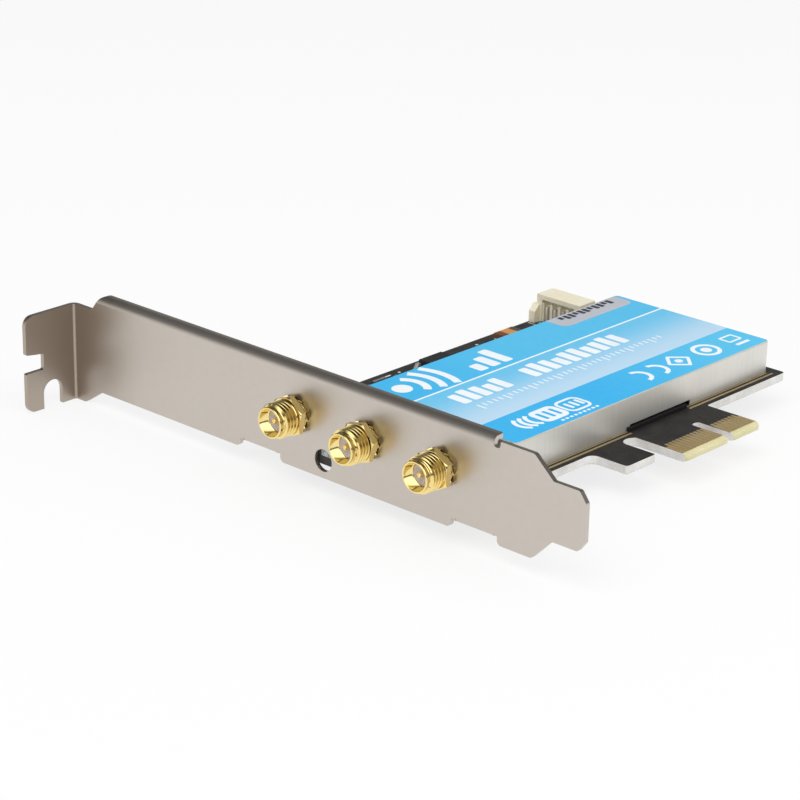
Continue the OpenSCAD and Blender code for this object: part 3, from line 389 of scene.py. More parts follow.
class Bench:
    """Modelling steps that all the pieces share."""

    @staticmethod
    def clear() -> None:
        """Leave edit mode and deselect everything."""
        if bpy.context.object is not None and bpy.context.object.mode != "OBJECT":
            bpy.ops.object.mode_set(mode="OBJECT")
        bpy.ops.object.select_all(action="DESELECT")

    @classmethod
    def only(cls, *pieces: Piece) -> None:
        """Select some pieces alone.

        Args:
            pieces: The pieces, the last of which becomes active.
        """
        cls.clear()
        for piece in pieces:
            piece.select_set(True)
            bpy.context.view_layer.objects.active = piece

    @staticmethod
    def take(name: str) -> Piece:
        """Name the piece that an operator has just added.

        Args:
            name: The name for it and its mesh.

        Returns:
            The piece.
        """
        piece = bpy.context.object
        piece.name = name
        piece.data.name = name
        return piece

    @classmethod
    @contextmanager
    def editing(cls, piece: Piece, pick: Pick = Pick.FACES, test: Test | None = None) -> Iterator[None]:
        """Open a piece in edit mode with all or part of it selected, and close it afterwards.

        Args:
            piece: The mesh object.
            pick: Whether faces or edges are selected.
            test: Picks a face by its centre and normal, or an edge by its two ends, in metres. Without it all
                of the mesh is selected.
        """
        cls.only(piece)
        bpy.ops.object.mode_set(mode="EDIT")
        bpy.ops.mesh.select_mode(type=pick.value)
        bpy.ops.mesh.select_all(action="DESELECT" if test else "SELECT")
        if test:
            bpy.ops.object.mode_set(mode="OBJECT")
            points = piece.data.vertices
            if pick is Pick.FACES:
                for face in piece.data.polygons:
                    face.select = test(face.center, face.normal)
            else:
                for edge in piece.data.edges:
                    edge.select = test(*(points[number].co for number in edge.vertices))
            bpy.ops.object.mode_set(mode="EDIT")
        yield
        bpy.ops.object.mode_set(mode="OBJECT")

    @classmethod
    def place(cls, piece: Piece, at: Triple = (0.0, 0.0, 0.0), turn: Triple = (0.0, 0.0, 0.0)) -> Piece:
        """Turn and move a piece, and put its place, turn and scale into its mesh.

        Args:
            piece: The piece.
            at: Where its origin goes, in millimetres.
            turn: Degrees that it is turned about X, Y and Z.

        Returns:
            The piece.
        """
        piece.rotation_euler = [math.radians(angle) for angle in turn]
        piece.location = Vector(at) * MM
        cls.only(piece)
        bpy.ops.object.transform_apply(location=True, rotation=True, scale=True)
        return piece

    @classmethod
    def modify(cls, piece: Piece, kind: str, **values: object) -> None:
        """Add a modifier to a piece and apply it.

        Args:
            piece: The mesh object.
            kind: The modifier's type.
            values: The modifier's own values.
        """
        cls.only(piece)
        bpy.ops.object.modifier_add(type=kind)
        modifier = piece.modifiers[-1]
        for name, value in values.items():
            setattr(modifier, name, value)
        bpy.ops.object.modifier_apply(modifier=modifier.name)

    @classmethod
    def soften(cls, piece: Piece, width: float = 0.0, segments: int = 2) -> None:
        """Round the sharp edges and shade the rest smooth, with flat faces left flat.

        Args:
            piece: The mesh object.
            width: The bevel's width in millimetres, or 0 for none.
            segments: Steps of the bevel.
        """
        if width:
            cls.modify(piece, "BEVEL", width=width * MM, segments=segments, limit_method="ANGLE",
                       angle_limit=BEVEL_FROM, use_clamp_overlap=True)
        cls.only(piece)
        bpy.ops.object.shade_smooth_by_angle(angle=SHARP_FROM)
        if width:
            cls.modify(piece, "WEIGHTED_NORMAL", keep_sharp=True, weight=90)

    @classmethod
    def outward(cls, piece: Piece) -> None:
        """Merge doubles and turn every face outwards."""
        with cls.editing(piece):
            bpy.ops.mesh.remove_doubles(threshold=SAME_POINT)
            bpy.ops.mesh.normals_make_consistent(inside=False)

    @classmethod
    def join(cls, name: str, pieces: Sequence[Piece]) -> Piece:
        """Join pieces into one object.

        Args:
            name: The object's name.
            pieces: The pieces, which are used up.

        Returns:
            The object.
        """
        cls.only(*pieces)
        if len(pieces) > 1:
            bpy.ops.object.join()
        return cls.take(name)

    @classmethod
    def copy(cls, piece: Piece, name: str) -> Piece:
        """Copy a piece with a mesh of its own.

        Args:
            piece: The piece or CAD node to copy.
            name: The copy's name.

        Returns:
            The copy, free of the marks that a CAD node carries.
        """
        hidden = piece.hide_viewport
        piece.hide_viewport = False
        cls.only(piece)
        bpy.ops.object.duplicate()
        made = cls.take(name)
        piece.hide_viewport = hidden
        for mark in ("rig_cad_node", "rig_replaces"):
            if mark in made:
                del made[mark]
        return made

    @classmethod
    def repeat(cls, piece: Piece, places: Sequence[Triple]) -> Piece:
        """Copy a piece to each place, in millimetres from where it is, and join the copies.

        Args:
            piece: The model of the repeated shape, which is used up.
            places: The offsets of the copies.

        Returns:
            All the copies as one object.
        """
        name = piece.name
        copies = [cls.place(cls.copy(piece, name + "_copy"), place) for place in places]
        bpy.data.objects.remove(piece)
        return cls.join(name, copies)

    @classmethod
    def block(cls, name: str, low: Triple, high: Triple) -> Piece:
        """Add a box with its place in its mesh.

        Args:
            name: The box's name.
            low, high: Two opposite corners in millimetres.

        Returns:
            The box.
        """
        cls.clear()
        bpy.ops.mesh.primitive_cube_add(size=1.0, location=[(a + b) / 2 * MM for a, b in zip(low, high)],
                                        scale=[(b - a) * MM for a, b in zip(low, high)])
        piece = cls.take(name)
        bpy.ops.object.transform_apply(location=True, rotation=True, scale=True)
        return piece

    @classmethod
    def rounded(cls, name: str, low: Triple, high: Triple, radius: float) -> Piece:
        """Add a flat box whose upright edges are rounded.

        Args:
            name: The box's name.
            low, high: Two opposite corners in millimetres.
            radius: The radius of the upright edges.

        Returns:
            The box.
        """
        piece = cls.block(name, low, high)
        with cls.editing(piece, Pick.EDGES, lambda a, b: abs(a.x - b.x) < 1e-7 and abs(a.y - b.y) < 1e-7):
            bpy.ops.mesh.bevel(offset=radius * MM, segments=5, affect="EDGES")
        return piece

    @classmethod
    def turned(cls, name: str, profile: Sequence[Pair], sides: int = 64) -> Piece:
        """Turn a piece on the Z axis by pulling a round face from ring to ring.

        Args:
            name: The piece's name.
            profile: Radius and height of each ring in millimetres, from the first face to the last.
            sides: Sides of the rings.

        Returns:
            A closed piece about the Z axis.
        """
        cls.clear()
        radius, height = profile[0]
        bpy.ops.mesh.primitive_circle_add(vertices=sides, radius=radius * MM, fill_type="NGON")
        piece = cls.place(cls.take(name), (0, 0, height))
        with cls.editing(piece):
            for wider, higher in profile[1:]:
                rise, share = (higher - height) * MM, wider / radius
                bpy.ops.mesh.extrude_region_move(TRANSFORM_OT_translate={"value": (0, 0, rise)})
                bpy.ops.transform.resize(value=(share, share, 1), center_override=(0, 0, higher * MM))
                radius, height = wider, higher
        cls.outward(piece)
        return piece

    @classmethod
    def cut(cls, piece: Piece, point: Triple, normal: Triple, drop: bool = False) -> None:
        """Bisect a piece with a plane.

        Args:
            piece: The mesh object.
            point: A point of the plane in millimetres.
            normal: The plane's normal.
            drop: Whether the side that the normal points to goes, and the cut is closed.
        """
        with cls.editing(piece):
            bpy.ops.mesh.bisect(plane_co=[value * MM for value in point], plane_no=normal, use_fill=drop,
                                clear_outer=drop)

    @classmethod
    def carve(cls, piece: Piece, tool: Piece, keep: Keep = Keep.OUTSIDE) -> None:
        """Cut a piece with another, which is used up."""
        cls.modify(piece, "BOOLEAN", object=tool, operation=keep.value, solver="EXACT")
        bpy.data.objects.remove(tool)

    @staticmethod
    def paint(piece: Piece, finish: Finish, others: Sequence[tuple[Finish, Test]]) -> None:
        """Give a piece its finish, and other finishes to the faces that their tests pick.

        Args:
            piece: The mesh object.
            finish: The finish of the whole piece.
            others: Pairs of a finish and a test of a face's centre and normal, the last one winning.
        """
        piece.data.materials.clear()
        for number, (layer, test) in enumerate(((finish, lambda centre, normal: True), *others)):
            piece.data.materials.append(layer.material())
            for face in piece.data.polygons:
                if test(face.center, face.normal):
                    face.material_index = number


@dataclass
class Assembly:
    """A group of pieces that is built and set on the card together."""

    nodes: dict[str, Piece]

    def dress(self, node: str, width: float = 0.0, segments: int = 2) -> Piece:
        """Copy a CAD node and round its edges, since a real edge is never razor sharp.

        Args:
            node: The CAD node's name.
            width: The bevel's width in millimetres, or 0 for none.
            segments: Steps of the bevel.

        Returns:
            The dressed copy.
        """
        piece = Bench.copy(self.nodes[node], node + "_dressed")
        bpy.ops.mesh.customdata_custom_splitnormals_clear()
        with Bench.editing(piece):
            bpy.ops.mesh.remove_doubles(threshold=SAME_POINT)
            bpy.ops.mesh.dissolve_limited(angle_limit=FLAT_WITHIN)
        Bench.soften(piece, width, segments)
        return piece

    def fit(self, piece: Piece, finish: Finish, slot: str, *replaced: str,
            others: Sequence[tuple[Finish, Test]] = ()) -> None:
        """Paint a finished piece, set it on the card and report it.

        Args:
            piece: The finished piece.
            finish: Its finish.
            slot: The record's material slot of the piece; not used.
            replaced: The CAD nodes that it stands for.
            others: Other finishes, each with the test that picks its faces.
        """
        Bench.paint(piece, finish, others)
        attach(piece, "root")
        if replaced:
            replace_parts(piece, *replaced)
        LOG.info("%s: %d faces", piece.name, len(piece.data.polygons))


@dataclass
class SlotBracket(Assembly):
    """The folded plate and the screws of its ears, each with a cross recess of two bars."""

    plate_edge: float = 0.12
    screw_edge: float = 0.25
    screw_places: tuple[Pair, ...] = ((48.3, 6.0), (97.3, 6.0))
    recess_half_bars: tuple[Pair, ...] = ((1.35, 0.275), (0.55, 1.35))
    recess_depth: float = 0.6
    recess_edge: float = 0.03

    def build(self) -> None:
        """Build the plate and its screws."""
        self.fit(self.dress("bracket", self.plate_edge), NICKEL, "bracket_metal", "bracket")
        screws = self.dress("bracket_screws", self.screw_edge, segments=3)
        low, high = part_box("bracket_screws")
        floor, over = high.z / MM - self.recess_depth, high.z / MM + 1
        for x, y in self.screw_places:
            for half_x, half_y in self.recess_half_bars:
                Bench.carve(screws, Bench.block("recess", (x - half_x, y - half_y, floor),
                                                (x + half_x, y + half_y, over)))
        Bench.soften(screws, self.recess_edge)
        self.fit(screws, SCREW_STEEL, "screw_metal", "bracket_screws")


@dataclass
class AntennaJacks(Assembly):
    """The three threaded jacks, each with its nut, washer, insulator, pin, ferrule and cable.

    Rings are pairs of radius and height above the plate's outer face, in millimetres.
    """

    places: tuple[float, ...] = (56.6, 73.1, 89.6)
    height: float = 9.65
    turns: tuple[float, ...] = (15.0, 130.0, 250.0)
    crest: float = 3.17
    root: float = 2.74
    inside: float = 2.6
    pitch: float = 0.706
    tooth_foot: float = 0.97
    tooth_top: float = 0.2
    thread_from: float = 2.1
    thread_to: float = 5.02
    run_out: float = 0.28
    run_out_drop: float = 0.3
    hub: float = 0.4
    sides: int = 72
    flange_flats: float = 8.0
    flange_depth: float = 2.0
    flange_middle: float = -1.86
    flange_edge: float = 0.12
    insulator_rings: tuple[Pair, ...] = (
        (2.03, -2.8), (2.03, 3.9), (1.95, 4.0), (0.8, 4.0), (0.62, 3.86), (0.4, 3.86))
    pin_rings: tuple[Pair, ...] = ((0.46, -2.8), (0.46, 4.72), (0.42, 4.88), (0.3, 4.98), (0.12, 5.0))
    ferrule_rings: tuple[Pair, ...] = (
        (1.18, -8.4), (1.5, -8.44), (1.58, -8.3), (1.58, -7.4), (1.46, -7.1), (1.46, -5.0), (1.58, -4.7),
        (1.58, -3.7), (1.5, -3.5), (1.18, -3.5))
    nut_rings: tuple[Pair, ...] = ((4.2, 0.6), (4.2, 1.3), (3.95, 1.5), (3.4, 1.95), (3.3, 2.1))
    nut_turns: tuple[float, ...] = (6.0, -5.0, 11.0)
    nut_share: float = 0.94
    nut_edge: float = 0.05
    washer_share: float = 0.9
    washer_edge: float = 0.05

    def _body_rings(self) -> list[Pair]:
        """Return the body's rings, from the crimp stem out to the mouth and into its bore."""
        return [(1.1, -6.05), (1.1, -3.46), (2.4, -3.46), (2.55, -3.4), (2.9, -2.86), (2.9, 2.0),
                (self.root, 2.05), (self.root, self.thread_to), (2.5, 5.06), (2.5, 5.38), (2.72, 5.4),
                (2.75, 5.44), (2.75, 5.8), (2.66, 5.9), (2.43, 5.9), (2.35, 5.82), (2.35, 4.02), (2.12, 4.0),
                (2.05, 3.9), (2.05, -2.7)]

    def _thread(self) -> Piece:
        """Build the helical ridge: one closed tooth, wound by a screw and cut flat at both ends.

        Returns:
            The ridge about the Z axis, drawn in where it runs out at the mouth.
        """
        Bench.clear()
        turns = math.ceil((self.thread_to - self.thread_from) / self.pitch) + 2
        start = self.thread_from - self.pitch
        bpy.ops.mesh.primitive_plane_add(size=1.0, rotation=(math.pi / 2, 0, 0), location=(
            (self.crest + self.inside) / 2 * MM, 0, (start + self.pitch / 2) * MM))
        tooth = Bench.take("thread")
        tooth.scale = ((self.crest - self.inside) * MM, self.tooth_foot * self.pitch * MM, 1)
        bpy.ops.object.transform_apply(location=True, rotation=True, scale=True)
        bpy.context.scene.cursor.location = (0, 0, 0)
        bpy.ops.object.origin_set(type="ORIGIN_CURSOR")
        with Bench.editing(tooth, Pick.EDGES, lambda a, b: min(a.x, b.x) > (self.crest - 0.01) * MM):
            bpy.ops.transform.resize(value=(1, 1, self.tooth_top))
            bpy.ops.mesh.select_all(action="SELECT")
            bpy.ops.mesh.delete(type="ONLY_FACE")
        Bench.modify(tooth, "SCREW", axis="Z", angle=2 * math.pi, screw_offset=self.pitch * MM,
                     iterations=turns, steps=self.sides, render_steps=self.sides)
        Bench.outward(tooth)
        Bench.cut(tooth, (0, 0, self.thread_from), (0, 0, -1), drop=True)
        Bench.cut(tooth, (0, 0, self.thread_to), (0, 0, 1), drop=True)
        with Bench.editing(tooth, test=lambda centre, normal: math.hypot(centre.x, centre.y) < self.hub * MM):
            bpy.ops.mesh.delete(type="ONLY_FACE")
        for point in tooth.data.vertices:
            over = max(0.0, point.co.z / MM - self.thread_to + self.run_out) / self.run_out
            radius = math.hypot(point.co.x, point.co.y)
            limit = (self.crest - self.run_out_drop * over) * MM
            if over > 0 and radius > limit:
                point.co.x *= limit / radius
                point.co.y *= limit / radius
        return tooth

    def _body(self) -> Piece:
        """Build the body with its thread and its rear flange.

        Returns:
            The body about the Z axis.
        """
        core = Bench.turned("core", self._body_rings(), self.sides)
        Bench.clear()
        bpy.ops.mesh.primitive_cylinder_add(
            vertices=6, radius=self.flange_flats / math.sqrt(3) * MM, depth=self.flange_depth * MM,
            location=(0, 0, self.flange_middle * MM), rotation=(0, 0, math.pi / 2))
        flange = Bench.take("flange")
        bpy.ops.object.transform_apply(location=True, rotation=True, scale=True)
        Bench.soften(flange, self.flange_edge)
        return Bench.join("jack_shell", [core, self._thread(), flange])

    def _set(self, piece: Piece, number: int, turn: float = 0.0) -> Piece:
        """Copy a piece to one jack, its Z axis pointing out of the plate.

        Args:
            piece: The piece about the Z axis.
            number: The jack, from 0.
            turn: Degrees that the piece is turned about its own axis.

        Returns:
            The copy, with its place in its mesh.
        """
        made = Bench.place(Bench.copy(piece, f"{piece.name}_{number + 1}"), turn=(0, 0, turn))
        return Bench.place(made, (self.places[number], 0, self.height), (90, 0, 0))

    def _drawn(self, node: str, number: int, share: float) -> Piece:
        """Dress a CAD node of one jack and draw it in towards the jack's axis.

        Args:
            node: The CAD node's name without its number.
            number: The jack, from 0.
            share: The share of its width that is left.

        Returns:
            The dressed copy.
        """
        piece = self.dress(f"{node}_{number + 1}", self.washer_edge if node == "lock_washer" else 0.0)
        with Bench.editing(piece):
            bpy.ops.transform.resize(value=(share, 1, share), center_override=self._middle(number))
        return piece

    def _middle(self, number: int) -> Triple:
        """Return the point where a jack's axis meets the plate's outer face, in metres."""
        return (self.places[number] * MM, 0, self.height * MM)

    def _nut(self, number: int, cone: Piece) -> Piece:
        """Build one jack's nut, its front chamfered by a turned cone.

        Args:
            number: The jack, from 0.
            cone: The cone about the Z axis.

        Returns:
            The nut, turned a little as it was tightened.
        """
        nut = self._drawn("jack_nut", number, self.nut_share)
        Bench.carve(nut, self._set(cone, number), Keep.INSIDE)
        with Bench.editing(nut):
            bpy.ops.transform.rotate(value=math.radians(self.nut_turns[number]), orient_axis="Y",
                                     center_override=self._middle(number))
        Bench.soften(nut, self.nut_edge)
        return nut

    def build(self) -> None:
        """Build the parts of one jack and copy them to all three."""
        insulator = Bench.turned("insulator", self.insulator_rings, 48)
        turned = ((self._body(), GOLD, "gold_jack", "jack_body"),
                  (insulator, POTTING, "insulator", "jack_insulator"),
                  (Bench.turned("pin", self.pin_rings, 32), GOLD, "gold_contacts", "jack_pin"),
                  (Bench.turned("ferrule", self.ferrule_rings, 48), GOLD, "gold_jack", "crimp_ferrule"))
        cone = Bench.turned("cone", self.nut_rings, self.sides)
        for piece, *_ in turned:
            Bench.soften(piece)
        for number, turn in enumerate(self.turns):
            tag = f"_{number + 1}"
            for piece, finish, slot, node in turned:
                self.fit(self._set(piece, number, turn), finish, slot, node + tag)
            self.fit(self._nut(number, cone), GOLD, "gold_jack", "jack_nut" + tag)
            self.fit(self._drawn("lock_washer", number, self.washer_share), GOLD, "gold_jack",
                     "lock_washer" + tag)
            cable = self.dress("antenna_cable" + tag)
            Bench.modify(cable, "SUBSURF", levels=2, render_levels=2)
            Bench.soften(cable)
            self.fit(cable, JACKET, "cable_jacket", "antenna_cable" + tag)
        for piece in (cone, *(piece for piece, *_ in turned)):
            bpy.data.objects.remove(piece)


@dataclass
class CardBoard(Assembly):
    """The circuit board with its mask, bare edges, traces, vias and printed legend."""

    top: float = 3.45
    low: float = 1.88
    film: float = 0.03
    legend: float = 0.02
    sunk: float = 0.01
    board_edge: float = 0.05
    contact_ends: float = 101.1
    tongue_from: float = 44.0
    bare_from: float = 104.6
    contact_rows: tuple[tuple[float, int], ...] = ((46.45, 11), (59.5, 7))
    contact_pitch: float = 1.0
    lead_longest: float = 6.4
    lead_step: float = 0.45
    line_from: float = 91.86
    line_width: float = 0.3
    line_ends: Pair = (17.0, 87.6)
    line_gap: Pair = (46.3, 62.9)
    trace_start: float = 94.6
    lip_height: float = 0.75
    lip_past: Pair = (0.15, 0.2)
    lip_edge: float = 0.1
    frame_line: float = 0.16
    tab_places: tuple[float, ...] = (22.5, 43.35, 82.2)
    tab_inset: float = 0.15
    bead_rings: tuple[Pair, ...] = ((1.25, 0.0), (1.2, 0.12), (1.0, 0.3), (0.7, 0.42), (0.35, 0.48))
    via_rings: tuple[Pair, ...] = ((0.34, -0.02), (0.34, 0.015), (0.3, 0.03), (0.16, 0.03), (0.14, -0.01))
    via_places: tuple[Pair, ...] = (
        (95.4, 36.5), (96.2, 48.0), (96.9, 53.4), (96.1, 61.6), (43.8, 16.2), (54.2, 21.0), (43.6, 26.4),
        (54.3, 33.0), (43.5, 40.0), (54.4, 46.2), (43.8, 52.4), (54.3, 62.0), (44.6, 71.8), (54.2, 74.6),
        (46.6, 76.2), (51.4, 77.4), (62.0, 12.2), (70.4, 13.4), (80.6, 12.6), (88.4, 13.2))
    long_runs: tuple[Triple, ...] = (
        (43.3, 20.0, 18.0), (44.1, 22.0, 14.0), (44.9, 24.0, 4.0), (54.9, 20.0, 9.0), (54.2, 36.0, 9.0),
        (43.4, 50.4, 12.0), (44.2, 51.4, 9.0), (54.8, 55.0, 16.0), (54.0, 64.0, 10.0), (53.2, 50.0, 12.0))
    frames: tuple[tuple[Pair, Pair], ...] = (
        ((45.2, 39.2), (53.4, 50.4)), ((45.4, 62.2), (50.2, 70.6)), ((45.6, 27.8), (48.0, 30.6)),
        ((45.6, 35.1), (48.0, 37.9)), ((43.1, 77.4), (54.6, 79.2)))
    ticks: tuple[tuple[Pair, Pair], ...] = (
        ((43.9, 32.8), (44.3, 37.4)), ((50.2, 32.0), (52.8, 32.25)), ((54.6, 39.6), (54.9, 44.0)))
    dots: tuple[Pair, ...] = ((44.4, 60.9), (44.2, 39.6), (55.1, 70.4))

    def _vias(self) -> Piece:
        """Build the plated holes' rings, each with its dimple.

        Returns:
            All the rings as one piece.
        """
        rings = [(radius, self.top + rise) for radius, rise in self.via_rings]
        return Bench.repeat(Bench.turned("vias", rings, 14), [(x, y, 0.0) for x, y in self.via_places])

    def _traces(self) -> Piece:
        """Build the masked copper lines: those of the edge contacts, and a few longer runs.

        Returns:
            All the lines as one piece.
        """
        line = Bench.block("traces", (0, -0.14, self.top - self.sunk), (1, 0.14, self.top + self.film))
        with Bench.editing(line, test=lambda centre, normal: normal.z > 0.9):
            bpy.ops.transform.resize(value=(1, 0.7, 1))
        leads = []
        for first, count in self.contact_rows:
            for number in range(count):
                long = self.lead_longest - self.lead_step * (number % 4)
                leads.append((self.contact_ends - long, first + number * self.contact_pitch, long))
        runs = []
        for places, turn in ((leads, 0), (self.long_runs, 90)):
            for x, y, long in places:
                made = Bench.copy(line, "run")
                made.scale = (long, 1, 1)
                runs.append(Bench.place(made, (x, y, 0), (0, 0, turn)))
        bpy.data.objects.remove(line)
        return Bench.join("traces", runs)

    def _outline(self, low: Pair, high: Pair) -> Piece:
        """Build a printed outline, such as the one round a part.

        Args:
            low, high: Its corners in millimetres.

        Returns:
            The flat outline.
        """
        piece = Bench.block("outline", (*low, self.top), (*high, self.top + self.legend))
        with Bench.editing(piece, test=lambda centre, normal: abs(normal.z) > 0.9):
            bpy.ops.mesh.inset(thickness=self.frame_line * MM)
            bpy.ops.mesh.delete(type="FACE")

        def inner(point: Vector) -> bool:
            """Tell whether a point is on the outline's inner side."""
            return all(low[k] + 0.1 < point[k] / MM < high[k] - 0.1 for k in range(2))

        with Bench.editing(piece, Pick.EDGES, lambda a, b: abs(a.z - b.z) < 1e-9 and inner(a) and inner(b)):
            bpy.ops.mesh.bridge_edge_loops()
        Bench.outward(piece)
        return piece

    def _legend(self) -> Piece:
        """Build the printed legend: outlines of parts, ticks and dots.

        Returns:
            All the marks as one piece.
        """
        upper = self.top + self.legend
        pieces = [self._outline(low, high) for low, high in self.frames]
        pieces += [Bench.rounded("tick", (*low, self.top), (*high, upper), 0.1) for low, high in self.ticks]
        pieces += [Bench.place(Bench.turned("dot", [(0.3, self.top), (0.3, upper)], 20), (*dot, 0))
                   for dot in self.dots]
        return Bench.join("board_legend_marks", pieces)

    def _foot_lines(self) -> None:
        """Build the gold lines along the can's foot and the socket's lip in their gap."""
        line_to, (gap_from, gap_to) = self.line_from + self.line_width, self.line_gap
        foot, upper = self.top - self.sunk, self.top + self.film
        halves = [Bench.block("half", (self.line_from, start, foot), (line_to, end, upper))
                  for start, end in ((self.line_ends[0], gap_from), (gap_to, self.line_ends[1]))]
        line = Bench.join("foot_line", halves)
        trace = self.dress("ground_trace")
        Bench.carve(trace, Bench.block("gap", (self.line_from, gap_from, self.low),
                                       (self.trace_start, gap_to, self.top + 1)))
        for made, nodes in ((line, ()), (trace, ("ground_trace",))):
            Bench.soften(made, 0.01)
            self.fit(made, FLASH_GOLD, "gold_contacts", *nodes)
        lip = Bench.block("socket_lip", (self.line_from - self.lip_past[0], gap_from, foot),
                          (line_to + self.lip_past[1], gap_to, self.top + self.lip_height))
        Bench.soften(lip, self.lip_edge)
        self.fit(lip, SOCKET, "socket_plastic")

    def _solder(self) -> None:
        """Build the solder where the can's tabs come through the board."""
        rings = [(radius, self.low - drop) for radius, drop in self.bead_rings]
        bead = Bench.turned("tab_solder", rings, 20)
        bead.scale = (0.62, 1.15, 1)
        Bench.place(bead)
        low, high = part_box("shield_can")
        sides = (low.x / MM + self.tab_inset, high.x / MM - self.tab_inset)
        beads = Bench.repeat(bead, [(x, y, 0.0) for x in sides for y in self.tab_places])
        Bench.soften(beads)
        self.fit(beads, SOLDER, "tin")

    def build(self) -> None:
        """Build the board and what is printed and plated on it."""
        board = self.dress("circuit_board", self.board_edge, segments=1)
        Bench.cut(board, (self.contact_ends, 0, 0), ALONG_X)
        self.fit(board, MASK, "board", "circuit_board", others=(
            (LAMINATE, lambda centre, normal: abs(normal.z) < 0.5),
            (TONGUE, lambda centre, normal: abs(normal.z) > 0.9 and centre.x > self.contact_ends * MM
             and centre.y > self.tongue_from * MM),
            (BARE_LAMINATE, lambda centre, normal: centre.x > self.bare_from * MM and abs(normal.z) < 0.98)))
        for marks, finish in ((self._vias(), TRACE), (self._traces(), TRACE), (self._legend(), SILK)):
            self.fit(marks, finish, "board")
        self._foot_lines()
        self._solder()


